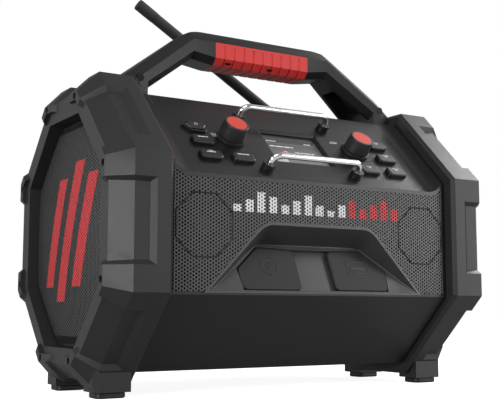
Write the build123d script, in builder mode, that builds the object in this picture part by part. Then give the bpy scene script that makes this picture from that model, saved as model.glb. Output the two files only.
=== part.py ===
"""Jobsite radio: an octagonal cabinet between two rubber bumpers, with a carrying handle.

Millimetres, +Z up, +Y to the back. The origin is on the floor under the middle of the cabinet.
"""

from build123d import *
from math import asin, atan2, cos, radians, sin, sqrt
import os

os.makedirs("parts", exist_ok=True)

# ---------------------------------------------------------------- driving dimensions
fit_gap = 0.3                 # clearance between a moving piece and its surroundings
running_gap = 0.05            # radial clearance of a shaft in its bearing

# Cabinet: an octagon with 45 degree slopes about a lengthwise axis.
axis_height = 155.2           # cabinet axis above the floor
cabinet_depth = 121.6         # half depth, axis to the front and rear walls
cabinet_rise = 133.2          # half height, axis to the top and bottom walls
cabinet_upper = 179.0         # depth plus rise on the upper slopes
cabinet_lower = 184.0         # depth plus rise on the lower slopes
cabinet_length = 190.0        # half length of the two shells
cabinet_wall = 3.0
body_top = axis_height + cabinet_rise

# End bumpers.
bumper_depth = 134.8
bumper_rise = 145.4
bumper_slope = 196.0
bumper_inner = 162.2          # inner flank
bumper_bevel = 3.5
bumper_crest = 200.0          # where the facets turn into the chamfer
rim_face = 219.5              # outermost plane, on the corner blocks
rim_depth = 114.0
rim_rise = 126.0
rim_slope = 170.0
block_inner = 7.8             # width of a corner block's outermost face
opening_depth = 96.0          # octagonal speaker opening
opening_rise = 109.0
opening_slope = 147.5
opening_drop = 2.4            # opening's centre below the cabinet's axis
recess_depth = 4.2            # flats sunk between the corner blocks
recess_half = 37.8
recess_end_half = 24.0        # on the top and bottom flats
recess_start = 178.5
recess_ramp = 5.2
recess_overrun = 25.0         # cutter's reach over the rim towards the opening

# Feet under the bumpers.
foot_front = 64.3
foot_back = 36.0
foot_inner = 168.9
foot_outer = 203.5
foot_bottom = 5.6
foot_corner = 4.0
pad_inset = 2.6
pad_corner = 6.0

# End baffles, woofers and side grilles.
baffle_thickness = 5.0
collar_height = 4.0
collar_width = 6.0
grille_sheet = 1.2
side_grille_ramp = 8.0
side_grille_rise = 6.0
woofer_flange = 80.0
woofer_bore = 72.0
woofer_depth = 68.0
woofer_magnet = 45.0
magnet_depth = 20.0
flange_thickness = 3.6
woofer_neck = 20.0
woofer_neck_depth = -24.0     # behind the baffle's face
woofer_roll = 4.0
woofer_ledge = 3.0            # ring behind the cone's rim
basket_sheet = 2.0
basket_step = 5.0             # basket's floor inside the magnet's edge
cone_sheet = 1.0

# Front grille and small drivers.
grille_half_length = 157.0
grille_bottom = -59.4         # below the cabinet axis
driver_offset = 126.3
driver_ring = 26.0
driver_rib = 29.0             # half width of the eight-sided rib on the grille
driver_rib_width = 2.0
driver_rib_proud = 0.9
driver_bore = 21.0
driver_depth = 26.0
driver_magnet = 14.0
driver_magnet_height = 8.0
driver_neck = 6.0
driver_neck_depth = -10.0
driver_roll = 2.2
driver_sheet = 0.6
driver_wall = 2.0

# Port pocket under the front grille, a wedge with a raked back.
pocket_bottom_half = 122.0
pocket_top_half = 61.5
pocket_top = 2.8              # above the cabinet axis
pocket_lip = -14.0
pocket_depth = 21.0
pocket_wall = 2.4
pocket_corner = 26.0          # rounding between the pocket's roof and its sides
pocket_sill = 1.5             # wall under the pocket's lower edge
flap_well = 4.0
flap_thickness = 3.4
flap_outline = [(20.0, 2.2), (20.0, 44.8), (61.0, 46.3), (87.0, 23.7), (84.0, 2.2)]
flap_corner = 5.0
flap_margin = 0.5
flap_proud = 1.0              # flap's face over the pocket's back
socket_across = 52.0
socket_up = 24.0
socket_depth = 14.0
jack_radius = 4.2
jack_bore = 1.8
usb_width = 14.5
usb_height = 7.0

# Control panel sunk into the upper front slope.
panel_sink = 6.7
panel_wall = 3.0
panel_half_length = 157.0
cove_width = 17.0

# Controls, as distances along the panel: across from the middle and up from the foot.
knob_across = 75.6
knob_up = 60.0
knob_height = 18.6
knob_clear = 0.5
knob_radius = 12.4            # at the top
knob_taper = 4.5              # degrees
knob_round = 0.6              # round on the top edge
collar_ring = 15.2            # radius of the collar under the knob's grip
collar_top = 3.4
collar_gap = 0.9              # groove between the collar and the grip
collar_neck = 12.0            # radius in that groove
knob_hollow = 2.0             # space around and over the encoder's neck
cap_radius = 10.4
cap_thickness = 1.2
shaft_radius = 3.0
key_width = 23.0
key_height = 12.5
key_corner = 3.6
key_proud = 4.2
key_round = 1.8
key_flange = 1.2
key_travel = 0.8
key_spots = [(110.5, 72.5), (110.5, 49.5), (110.5, 26.5), (knob_across, 26.5)]
key_names = {-1: ("power_key", "source_key", "preset_key", "clock_key"),
             1: ("menu_key", "info_key", "back_key", "memory_key")}
power_key_width = 22.5
power_key_height = 12.0
power_frame = 3.2
power_frame_height = 2.4
board_depth = 12.0            # control board below the panel surface
board_thickness = 1.6
board_half = 132.0
board_low = 12.0
board_high = 105.0
board_post_across = 127.0
board_post_ups = (38.0, 90.0)
board_post_radius = 3.5
switch_size = 6.0
switch_height = 4.4
encoder_size = 14.0
encoder_neck = 4.5
encoder_neck_height = 2.0
shaft_sink = 8.0
window_half = 35.0
window_low = 29.0
window_high = 82.5
window_bevel = 3.0
lens_thickness = 1.5
lens_sink = 2.0
bar_radius = 3.0
bar_bend = 9.0
bar_height = 16.0
bar_half = 52.5
bar_ups = (16.0, 97.0)
bushing_radius = 6.5
bushing_height = 6.5
bushing_ribs = 5

# Handle.
handle_top = body_top + 81.2
handle_flat = 84.0            # half length of the level stretch
handle_reach = 166.0
handle_end_height = body_top + 17.8
grip_half = 58.5
handle_half = 20.0            # half width at the grip
leg_half = 33.0               # half width at the feet
leg_wall = 12.0
handle_chamfer = 12.0
bend_round = 45.0             # radius of the top where the legs start to fall
handle_under = body_top + 45.6     # underside of the frame and the grip
handle_bend = body_top + 49.4      # underside where the legs start to fall
fork_start = 100.0            # where the front and rear legs part
leg_under = body_top + 7.2         # underside of the leg at its foot
foot_start = 141.0
foot_end = 161.5
foot_shoulder = body_top + 8.6
skin_thickness = 3.6
bolt_across = 149.6
bolt_height = body_top + 17.2
bolt_radius = 2.5
boss_radius = 6.5
grip_wall = 3.0
grip_bevel = 7.0
grip_groove = 0.9
groove_margin = 3.0           # uncut height over the grooves
grip_groove_count = 9

# Antenna on the rear slope.
antenna_across = 122.0
antenna_back = 80.0
swivel_rise = 16.8            # swivel's seat above the slope at its axis
swivel_top = axis_height + cabinet_upper - antenna_back + swivel_rise
pivot_height = swivel_top + 14.0
mast_radius = 6.2
mast_length = 262.0
mast_tilt = 30.8              # above level, leaning to the left
mast_tip_length = 24.0
tip_swell = 0.3
swivel_radius = 13.0
swivel_post = 5.0
swivel_post_length = 9.0
knuckle_plate = 11.0
knuckle_plate_thickness = 4.2
ear_thickness = 4.0
ear_radius = 6.5
mast_eye = 8.6
mast_start = 8.0
tilt_pin_radius = 2.5

# Rear face.
door_half = 62.0
door_low = -52.0
door_high = 22.0
door_thickness = 3.0
door_lap = 3.0
battery_depth = 56.0
battery_wall = 2.0
inlet_across = 112.0
inlet_up = -34.0
inlet_width = 28.0
inlet_height = 20.0
inlet_depth = 24.0
hinge_radius = 1.5
hinge_drop = 5.0              # hinge axis under the door's lower edge
hinge_out = 4.4               # hinge axis behind the rear wall
knuckle_radius = 3.6
knuckle_inner = 25.0
knuckle_outer = 33.0

# Electronics and the posts that hold the shells together.
post_radius = 5.0
post_rise = -118.0
post_across = (60.0, 145.0)
post_head_depth = 10.0
main_board_half = 52.0
main_board_front = 8.0
board_margin = 4.8            # board's edge from the end of the level floor
main_board_back = cabinet_lower - cabinet_rise - board_margin
standoff_height = 6.0
standoff_radius = 3.0
standoff_inset = 4.0
supply_start = 72.0
supply_end = 132.0
supply_height = 32.0

# Fasteners.
screw_radius = 1.6
screw_head = 3.2
screw_length = 30.0
rim_screw_length = 24.0
bolt_head = 3.6
bolt_head_sink = 5.0
bolt_reach = 24.0             # bolt's length from under its head
rim_screw_spots = [(110.1, 50.0), (38.0, 122.1)]
rim_screw_well = 3.4
rim_screw_sink = 5.0

half_turn = sqrt(0.5)         # sine and cosine of 45 degrees


# ---------------------------------------------------------------- frames and sections
def cross_plane(x, side=1):
    """Plane across the cabinet at distance x, facing outwards at that end."""
    return Plane(origin=(side * x, 0, axis_height), x_dir=(0, side, 0), z_dir=(side, 0, 0))


def front_plane(y):
    """Upright plane facing the front, with X and Z about the cabinet's axis."""
    return Plane(origin=(0, y, axis_height), x_dir=(1, 0, 0), z_dir=(0, -1, 0))


def level_plane(z):
    """Level plane at a height above the floor."""
    return Plane(origin=(0, 0, z), x_dir=(1, 0, 0), z_dir=(0, 0, 1))


panel_front = -(cabinet_depth + grille_sheet)
panel_level = cabinet_upper - panel_sink / half_turn
panel_foot = (0, panel_front, axis_height + panel_level + panel_front)
panel_run = (panel_level - cabinet_rise + panel_front) * -1 / half_turn


def panel_plane(height=0.0, across=0.0, up=0.0):
    """Plane of the control panel, with X across and Y up the slope."""
    base = Plane(origin=panel_foot, x_dir=(1, 0, 0), z_dir=(0, -half_turn, half_turn))
    return Plane(origin=base.from_local_coords((across, up, height)), x_dir=base.x_dir, z_dir=base.z_dir)


def panel_section_plane(up):
    """Plane square to the panel's slope, with the panel's outward side up."""
    base = panel_plane(0, 0, up)
    return Plane(origin=base.origin, x_dir=(-1, 0, 0), z_dir=base.y_dir)


def octagon(depth, rise, upper, lower=None, mode=Mode.ADD):
    """Eight-sided section with 45 degree slopes, named by its half sizes."""
    lower = upper if lower is None else lower
    corners = [
        (-depth, depth - lower), (-depth, upper - depth), (rise - upper, rise), (upper - rise, rise),
        (depth, upper - depth), (depth, depth - lower), (lower - rise, -rise), (rise - lower, -rise),
    ]
    Polygon(*corners, align=None, mode=mode)


def cabinet_section(inset=0.0, mode=Mode.ADD):
    slope_inset = inset / half_turn
    octagon(cabinet_depth - inset, cabinet_rise - inset, cabinet_upper - slope_inset,
            cabinet_lower - slope_inset, mode)


def bumper_section(inset=0.0):
    octagon(bumper_depth - inset, bumper_rise - inset, bumper_slope - inset / half_turn)


def opening_section(inset=0.0, mode=Mode.ADD):
    with Locations((0, -opening_drop)):
        octagon(opening_depth - inset, opening_rise - inset, opening_slope - inset / half_turn, mode=mode)


def save(name, built):
    """Labels a finished piece and writes it as its own STEP file."""
    built.part.label = name
    export_step(built.part, f"parts/{name}.step")


both_sides = (("left", -1), ("right", 1))


# ---------------------------------------------------------------- bumpers
def bumper_form(inset):
    """The bumper's outer form, set in by the same distance on every face."""
    lean = atan2(rim_face - bumper_crest, bumper_depth - rim_depth)
    crest = bumper_crest - inset * (1 - sin(lean)) / cos(lean)
    with BuildPart() as form:
        with BuildSketch(cross_plane(bumper_inner)):
            bumper_section(bumper_bevel + inset)
        with BuildSketch(cross_plane(bumper_inner + bumper_bevel)):
            bumper_section(inset)
        loft(ruled=True)
        with BuildSketch(cross_plane(bumper_inner + bumper_bevel)):
            bumper_section(inset)
        extrude(amount=crest - bumper_inner - bumper_bevel)
        with BuildSketch(cross_plane(crest)):
            bumper_section(inset)
        with BuildSketch(cross_plane(rim_face - inset)):
            octagon(rim_depth, rim_rise, rim_slope)
        loft(ruled=True)
    return form


def recess_window(turn, wall_distance, rim_distance, centre, half):
    """Cutter for one flat between two corner blocks, over the facet, the chamfer and the rim."""
    lean = atan2(rim_face - bumper_crest, wall_distance - rim_distance)
    crest_shift = recess_depth * (1 - sin(lean)) / cos(lean)
    rim_shift = recess_depth * (1 - cos(lean)) / sin(lean)
    rim_inner = rim_distance - recess_overrun
    outer_points = [(recess_start, wall_distance), (bumper_crest, wall_distance),
                    (rim_face, rim_distance), (rim_face, rim_inner)]
    floor_points = [(recess_start + recess_ramp, wall_distance - recess_depth),
                    (bumper_crest - crest_shift, wall_distance - recess_depth),
                    (rim_face - recess_depth, rim_distance - rim_shift),
                    (rim_face - recess_depth, rim_inner)]
    outward = Vector(0, -1, 0).rotate(Axis.X, -turn)
    along = Vector(0, 0, 1).rotate(Axis.X, -turn)
    middle = Vector(0, 0, axis_height) + along * centre
    floor_half = half - recess_depth
    below, above = 0.25, 2.0

    def place(point):
        return middle + Vector(point[0], 0, 0) + outward * point[1]

    with BuildPart() as window:
        for step in range(len(outer_points) - 1):
            for index in (step, step + 1):
                floor = place(floor_points[index])
                reach = place(outer_points[index]) - floor
                low_half = floor_half - below * recess_depth
                high_half = floor_half + above * recess_depth
                with BuildSketch(Plane(origin=floor, x_dir=along, z_dir=reach.cross(along))):
                    Polygon((-low_half, below * reach.length), (low_half, below * reach.length),
                            (high_half, -above * reach.length), (-high_half, -above * reach.length),
                            align=None)
            loft(ruled=True)
    return window


def rim_screw_centres(radius, mode=Mode.ADD):
    spots = [(y * front, z * up) for y, z in rim_screw_spots for front in (-1, 1) for up in (-1, 1)]
    with Locations(*spots):
        Circle(radius, mode=mode)


def bumper(side):
    full = bumper_form(0)
    sunk = bumper_form(recess_depth)
    slope_distance = bumper_slope * half_turn
    rim_slope_distance = rim_slope * half_turn
    slope_centre = (bumper_rise - bumper_depth) * half_turn
    flats = [(0, bumper_depth, rim_depth, 0, recess_half), (180, bumper_depth, rim_depth, 0, recess_half),
             (90, bumper_rise, rim_rise, 0, recess_end_half), (-90, bumper_rise, rim_rise, 0, recess_end_half),
             (45, slope_distance, rim_slope_distance, slope_centre, recess_half),
             (-45, slope_distance, rim_slope_distance, -slope_centre, recess_half),
             (135, slope_distance, rim_slope_distance, -slope_centre, recess_half),
             (-135, slope_distance, rim_slope_distance, slope_centre, recess_half)]
    windows = [recess_window(*flat) for flat in flats]
    band_face = rim_face - recess_depth
    with BuildPart() as built:
        add(full.part)
        for window in windows:
            add(window.part, mode=Mode.SUBTRACT)
        with BuildSketch(cross_plane(band_face)):
            octagon(rim_depth - block_inner, rim_rise - block_inner, rim_slope - block_inner / half_turn)
        extrude(amount=2 * recess_depth, mode=Mode.SUBTRACT)
        add(sunk.part)
        for front in (-1, 1):
            with BuildSketch(level_plane(foot_bottom)):
                Polygon((foot_inner, front * foot_front), (foot_outer - foot_corner / 2, front * foot_front),
                        (foot_outer, front * (foot_front - foot_corner)), (foot_outer, front * foot_back),
                        (foot_inner, front * foot_back), align=None)
            extrude(amount=axis_height - bumper_slope + foot_front - foot_bottom + foot_corner)
        with BuildSketch(cross_plane(bumper_inner)):
            cabinet_section()
        extrude(amount=cabinet_length + baffle_thickness - bumper_inner, mode=Mode.SUBTRACT)
        with BuildSketch(cross_plane(cabinet_length)):
            opening_section()
        extrude(amount=rim_face - cabinet_length + 1, mode=Mode.SUBTRACT)
        with BuildSketch(cross_plane(cabinet_length)):
            rim_screw_centres(screw_radius + running_gap)
        extrude(amount=rim_face - cabinet_length, mode=Mode.SUBTRACT)
        with BuildSketch(cross_plane(rim_face - rim_screw_sink)):
            rim_screw_centres(rim_screw_well)
        extrude(amount=rim_screw_sink + 1, mode=Mode.SUBTRACT)
        if side < 0:
            mirror(about=Plane.YZ, mode=Mode.REPLACE)
    return built


for name, side in both_sides:
    save(f"{name}_bumper", bumper(side))


# ---------------------------------------------------------------- control panel
cove_radius = (cove_width ** 2 + panel_sink ** 2) / (2 * panel_sink)
cove_turn = asin(cove_width / cove_radius)
panel_flat_half = panel_half_length - cove_width
panel_overrun = 60.0


def panel_cove(side, depth):
    """Start, middle and end of the concave end of the panel, at a depth below its face."""
    reach = cove_radius + depth
    return [(side * (panel_flat_half + reach * sin(turn)), cove_radius - reach * cos(turn))
            for turn in (0, cove_turn / 2, cove_turn)]


def panel_outline(ceiling=None):
    """Section of the panel, or of all the space over its underside up to a ceiling."""
    ends = {side: (panel_cove(side, 0), panel_cove(side, panel_wall)) for side in (-1, 1)}
    with BuildLine() as outline:
        for high, low in ends.values():
            ThreePointArc(*low)
            Line(low[2], high[2])
            if ceiling is None:
                ThreePointArc(*high)
            else:
                Line(high[2], (high[2][0], ceiling))
        Line(ends[-1][1][0], ends[1][1][0])
        if ceiling is None:
            Line(ends[-1][0][0], ends[1][0][0])
        else:
            Line((ends[-1][0][2][0], ceiling), (ends[1][0][2][0], ceiling))
    make_face(outline.edges())


def long_hexagon(width, height):
    """Flat six-sided outline, pointed at both ends."""
    shoulder = width / 2 - height / 3
    Polygon((-width / 2, 0), (-shoulder, height / 2), (shoulder, height / 2), (width / 2, 0),
            (shoulder, -height / 2), (-shoulder, -height / 2), align=None)


def key_outline(name, grow=0.0):
    if name == "power_key":
        long_hexagon(power_key_width + 2 * grow, power_key_height + 2 * grow)
    else:
        RectangleRounded(key_width + 2 * grow, key_height + 2 * grow, key_corner + grow)


keys = [(name, side * across, up) for side, names in key_names.items()
        for name, (across, up) in zip(names, key_spots)]
window_middle = (window_low + window_high) / 2
window_width = 2 * window_half
window_rise = window_high - window_low
bar_spots = [(side * bar_half, up) for side in (-1, 1) for up in bar_ups]
board_posts = [(side * board_post_across, up) for side in (-1, 1) for up in board_post_ups]

with BuildPart() as panel_void:
    with BuildSketch(panel_section_plane(-panel_overrun)):
        panel_outline(panel_overrun)
    extrude(amount=panel_run + 2 * panel_overrun)

with BuildPart() as control_panel:
    with BuildSketch(panel_section_plane(-panel_overrun)):
        panel_outline()
    extrude(amount=panel_run + 2 * panel_overrun)
    split(bisect_by=Plane(origin=(0, panel_front, 0), z_dir=(0, 1, 0)), keep=Keep.TOP)
    split(bisect_by=level_plane(body_top), keep=Keep.BOTTOM)
    with BuildSketch(panel_plane(0, 0, window_middle)):
        Rectangle(window_width, window_rise)
    with BuildSketch(panel_plane(-lens_sink, 0, window_middle)):
        Rectangle(window_width - 2 * window_bevel, window_rise - 2 * window_bevel)
    loft(mode=Mode.SUBTRACT)
    with BuildSketch(panel_plane(-lens_sink, 0, window_middle)):
        Rectangle(window_width - 2 * window_bevel, window_rise - 2 * window_bevel)
    extrude(amount=lens_sink - panel_wall, mode=Mode.SUBTRACT)
    for name, across, up in keys:
        if name == "power_key":
            with BuildSketch(panel_plane(0, across, up)):
                key_outline(name, power_frame)
            extrude(amount=power_frame_height)
        with BuildSketch(panel_plane(-panel_wall, across, up)):
            key_outline(name, fit_gap)
        extrude(amount=panel_wall + power_frame_height, mode=Mode.SUBTRACT)
    with BuildSketch(panel_plane(-panel_wall)):
        with Locations(*[(side * knob_across, knob_up) for side in (-1, 1)]):
            Circle(encoder_neck + running_gap)
        with Locations(*bar_spots):
            Circle(bar_radius + running_gap)
    extrude(amount=panel_wall, mode=Mode.SUBTRACT)
    with BuildSketch(panel_plane(-board_depth)):
        with Locations(*board_posts):
            Circle(board_post_radius)
    extrude(amount=board_depth - panel_wall)
save("control_panel", control_panel)

with BuildPart() as display_lens:
    with BuildSketch(panel_plane(-panel_wall - lens_thickness, 0, window_middle)):
        Rectangle(window_width, window_rise)
    extrude(amount=lens_thickness)
save("display_lens", display_lens)

with BuildPart() as display_module:
    with BuildSketch(panel_plane(-board_depth, 0, window_middle)):
        Rectangle(window_width - window_bevel, window_rise - window_bevel)
    extrude(amount=board_depth - panel_wall - lens_thickness)
save("display_module", display_module)

with BuildPart() as control_board:
    with BuildSketch(panel_plane(-board_depth - board_thickness, 0, (board_low + board_high) / 2)):
        Rectangle(2 * board_half, board_high - board_low)
    extrude(amount=board_thickness)
save("control_board", control_board)

with BuildPart() as key_switches:
    with BuildSketch(panel_plane(-board_depth)):
        with Locations(*[(across, up) for name, across, up in keys]):
            Rectangle(switch_size, switch_size)
    extrude(amount=switch_height)
save("key_switches", key_switches)

with BuildPart() as encoders:
    for side in (-1, 1):
        with BuildSketch(panel_plane(-board_depth, side * knob_across, knob_up)):
            Rectangle(encoder_size, encoder_size)
        extrude(amount=board_depth - panel_wall)
        with BuildSketch(panel_plane(-panel_wall, side * knob_across, knob_up)):
            Circle(encoder_neck)
        extrude(amount=panel_wall + encoder_neck_height)
        with BuildSketch(panel_plane(-shaft_sink - fit_gap, side * knob_across, knob_up)):
            Circle(shaft_radius + running_gap)
        extrude(amount=shaft_sink + fit_gap + encoder_neck_height, mode=Mode.SUBTRACT)
save("encoders", encoders)


# ---------------------------------------------------------------- knobs and keys
def knob(side):
    hollow_top = encoder_neck_height + knob_hollow
    with BuildPart() as built:
        with BuildSketch(panel_plane(knob_height, side * knob_across, knob_up)):
            Circle(knob_radius)
        extrude(amount=-(knob_height - collar_top - collar_gap), taper=-knob_taper)
        fillet(built.faces().sort_by(Axis((0, 0, 0), (0, -1, 1)))[-1].edges(), knob_round)
        with BuildSketch(panel_plane(collar_top, side * knob_across, knob_up)):
            Circle(collar_neck)
        extrude(amount=collar_gap)
        with BuildSketch(panel_plane(knob_clear, side * knob_across, knob_up)):
            Circle(collar_ring)
        extrude(amount=collar_top - knob_clear)
        with BuildSketch(panel_plane(knob_height - cap_thickness, side * knob_across, knob_up)):
            Circle(cap_radius)
        extrude(amount=cap_thickness, mode=Mode.SUBTRACT)
        with BuildSketch(panel_plane(knob_clear, side * knob_across, knob_up)):
            Circle(encoder_neck + knob_hollow)
        extrude(amount=hollow_top - knob_clear, mode=Mode.SUBTRACT)
        with BuildSketch(panel_plane(-shaft_sink, side * knob_across, knob_up)):
            Circle(shaft_radius)
        extrude(amount=shaft_sink + hollow_top)
    return built


def knob_cap(side):
    with BuildPart() as built:
        with BuildSketch(panel_plane(knob_height - cap_thickness, side * knob_across, knob_up)):
            Circle(cap_radius)
        extrude(amount=cap_thickness)
    return built


def key(name, across, up):
    """A key with its flange behind the panel and a stem over its switch."""
    flange_low = panel_wall + fit_gap + key_flange
    stem_low = board_depth - switch_height - key_travel - fit_gap
    with BuildPart() as built:
        with BuildSketch(panel_plane(-flange_low, across, up)):
            key_outline(name)
        extrude(amount=flange_low + key_proud)
        fillet(built.faces().sort_by(Axis((0, 0, 0), (0, -1, 1)))[-1].edges(), key_round)
        with BuildSketch(panel_plane(-flange_low, across, up)):
            key_outline(name, key_flange)
        extrude(amount=key_flange)
        with BuildSketch(panel_plane(-stem_low, across, up)):
            Circle(switch_size / 2)
        extrude(amount=stem_low - flange_low)
    return built


for name, side in both_sides:
    save(f"{name}_knob", knob(side))
    save(f"{name}_knob_cap", knob_cap(side))
for name, across, up in keys:
    save(name, key(name, across, up))


# ---------------------------------------------------------------- guard bars
def guard_bar(up):
    base = panel_plane(0, 0, up)
    upright = Plane(origin=base.origin, x_dir=base.x_dir, z_dir=-base.y_dir)
    root = panel_wall + bar_radius
    with BuildPart() as built:
        with BuildLine(upright) as path:
            FilletPolyline((-bar_half, -root), (-bar_half, bar_height), (bar_half, bar_height),
                           (bar_half, -root), radius=bar_bend)
        with BuildSketch(Plane(origin=path.line @ 0, z_dir=path.line % 0)):
            Circle(bar_radius)
        sweep()
    return built


save("front_guard_bar", guard_bar(bar_ups[0]))
save("rear_guard_bar", guard_bar(bar_ups[1]))

with BuildPart() as guard_bushings:
    rib = bushing_height / bushing_ribs
    for level in range(bushing_ribs):
        with BuildSketch(panel_plane(level * rib)):
            with Locations(*bar_spots):
                Circle(bushing_radius - (level % 2) * rib / 2)
                Circle(bar_radius + running_gap, mode=Mode.SUBTRACT)
        extrude(amount=rib)
save("guard_bushings", guard_bushings)


# ---------------------------------------------------------------- port pocket
pocket_base = axis_height + grille_bottom
pocket_front_top = Vector(0, panel_front, axis_height + pocket_top)
pocket_lip_line = Vector(0, panel_front + pocket_depth, axis_height + pocket_lip)
pocket_foot = Vector(0, panel_front, pocket_base)
lip_rise = (pocket_lip_line - pocket_foot).normalized()


def lip_plane(height=0.0, across=0.0, up=0.0):
    """Plane of the pocket's raked back, with X across and Y up the rake."""
    base = Plane(origin=pocket_foot, x_dir=(1, 0, 0), z_dir=Vector(1, 0, 0).cross(lip_rise))
    return Plane(origin=base.from_local_coords((across, up, height)), x_dir=base.x_dir, z_dir=base.z_dir)


def pocket_wedge(wall=0.0, backing=0.0):
    """The pocket's hollow, grown by a wall over and beside it and a backing behind its rake."""
    roof = Vector(1, 0, 0).cross(pocket_lip_line - pocket_front_top)
    walls = [(pocket_front_top, roof.normalized(), wall),
             (pocket_foot, lip_plane().z_dir * -1, backing)]
    for side in (-1, 1):
        low = pocket_foot + Vector(side * pocket_bottom_half, 0, 0)
        high = pocket_front_top + Vector(side * pocket_top_half, 0, 0)
        inner = pocket_lip_line + Vector(side * pocket_top_half, 0, 0)
        outward = (high - low).cross(inner - high).normalized() * -side
        walls.append((low, outward, wall))
    height = pocket_front_top.Z - pocket_base + 3 * wall
    with BuildPart() as wedge:
        with BuildSketch(level_plane(pocket_base - pocket_sill)):
            with Locations((0, panel_front + (pocket_depth + 3 * backing) / 2)):
                Rectangle(2 * pocket_bottom_half + 6 * wall, pocket_depth + 3 * backing)
        extrude(amount=height + pocket_sill)
        for point, outward, growth in walls:
            split(bisect_by=Plane(origin=point + outward * growth, z_dir=outward), keep=Keep.BOTTOM)
        corners = [edge for edge in wedge.edges()
                   if abs((edge @ 0).X - (edge @ 1).X) < 0.01 and (edge @ 0).Z > pocket_lip_line.Z - wall - backing
                   and abs((edge @ 0).Y - (edge @ 1).Y) > pocket_depth / 2]
        fillet(corners, pocket_corner + wall)
    return wedge


def flap_shape(side):
    Polygon(*[(side * across, up) for across, up in flap_outline], align=None)


pocket_hollow = pocket_wedge()
pocket_outer = pocket_wedge(pocket_wall, flap_well + pocket_wall)
well_low = flap_outline[0][1] - flap_margin
well_high = flap_outline[1][1] + flap_margin

with BuildPart() as port_tray:
    add(pocket_outer.part)
    add(pocket_hollow.part, mode=Mode.SUBTRACT)
    with BuildSketch(lip_plane(-flap_well)):
        for side in (-1, 1):
            flap_shape(side)
        offset(amount=flap_margin, kind=Kind.INTERSECTION)
        with Locations((0, (well_low + well_high) / 2)):
            Rectangle(2 * flap_outline[0][0], well_high - well_low)
    extrude(amount=flap_well, mode=Mode.SUBTRACT)
    with BuildSketch(lip_plane(-flap_well - pocket_wall)):
        with Locations((-socket_across, socket_up)):
            Circle(jack_radius + running_gap)
        with Locations((socket_across, socket_up)):
            Rectangle(usb_width, usb_height)
    extrude(amount=pocket_wall, mode=Mode.SUBTRACT)
save("port_tray", port_tray)

with BuildPart() as aux_jack:
    with BuildSketch(lip_plane(-flap_well, -socket_across, socket_up)):
        Circle(jack_radius)
    extrude(amount=-pocket_wall)
    with BuildSketch(lip_plane(-flap_well - pocket_wall, -socket_across, socket_up)):
        Rectangle(3 * jack_radius, 3 * jack_radius)
    extrude(amount=-socket_depth)
    with BuildSketch(lip_plane(-flap_well, -socket_across, socket_up)):
        Circle(jack_bore)
    extrude(amount=-socket_depth, mode=Mode.SUBTRACT)
save("aux_jack", aux_jack)

with BuildPart() as usb_socket:
    with BuildSketch(lip_plane(-flap_well, socket_across, socket_up)):
        Rectangle(usb_width, usb_height)
    extrude(amount=-pocket_wall)
    with BuildSketch(lip_plane(-flap_well - pocket_wall, socket_across, socket_up)):
        Rectangle(usb_width + pocket_wall, usb_height + pocket_wall)
    extrude(amount=-socket_depth)
    with BuildSketch(lip_plane(-flap_well, socket_across, socket_up)):
        Rectangle(usb_width - pocket_wall / 2, usb_height - pocket_wall / 2)
    extrude(amount=-socket_depth, mode=Mode.SUBTRACT)
save("usb_socket", usb_socket)

for name, side in (("aux_flap", -1), ("usb_flap", 1)):
    with BuildPart() as flap:
        with BuildSketch(lip_plane(-flap_thickness)) as outline:
            flap_shape(side)
            fillet(outline.vertices(), flap_corner)
        extrude(amount=flap_thickness + flap_proud)
        chamfer(flap.faces().sort_by(Axis((0, 0, 0), lip_plane().z_dir))[-1].edges(), flap_thickness / 4)
    save(name, flap)


# ---------------------------------------------------------------- cabinet shells
def lug(depth):
    """Lugs on the body's top that the handle is bolted through, out to a depth from the joint."""
    with BuildPart() as lugs:
        with BuildSketch(front_plane(0)):
            for side in (-1, 1):
                low = cabinet_rise - cabinet_wall
                high = bolt_height - axis_height
                with Locations((side * bolt_across, (low + high) / 2)):
                    Rectangle(2 * boss_radius, high - low)
                with Locations((side * bolt_across, high)):
                    Circle(boss_radius)
        extrude(amount=depth)
        with BuildSketch(front_plane(0)):
            with Locations(*[(side * bolt_across, bolt_height - axis_height) for side in (-1, 1)]):
                Circle(bolt_radius + running_gap)
        extrude(amount=depth, mode=Mode.SUBTRACT)
    return lugs


lug_depth = leg_half - leg_wall
post_spots = [(side * across, post_rise) for side in (-1, 1) for across in post_across]

with BuildPart() as cabinet_form:
    with BuildSketch(cross_plane(-cabinet_length)):
        cabinet_section()
    extrude(amount=2 * cabinet_length)

with BuildPart() as whole_shell:
    add(cabinet_form.part)
    with BuildSketch(cross_plane(-cabinet_length)):
        cabinet_section(cabinet_wall)
    extrude(amount=2 * cabinet_length, mode=Mode.SUBTRACT)

with BuildPart() as shell_posts:
    with BuildSketch(front_plane(cabinet_depth)):
        with Locations(*post_spots):
            Circle(post_radius)
    extrude(amount=2 * cabinet_depth)
    add(cabinet_form.part, mode=Mode.INTERSECT)

with BuildPart() as front_housing:
    add(whole_shell.part)
    add(shell_posts.part)
    split(bisect_by=Plane.XZ, keep=Keep.TOP)
    add(panel_void.part, mode=Mode.SUBTRACT)
    add(lug(lug_depth).part)
    add(pocket_outer.part, mode=Mode.SUBTRACT)
    with BuildSketch(front_plane(0)):
        with Locations(*[(side * driver_offset, 0) for side in (-1, 1)]):
            Circle(driver_bore)
    extrude(amount=cabinet_depth, mode=Mode.SUBTRACT)
    with BuildSketch(front_plane(0)):
        with Locations(*post_spots):
            Circle(screw_radius + running_gap)
    extrude(amount=screw_length - post_head_depth, mode=Mode.SUBTRACT)
save("front_housing", front_housing)

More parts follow.
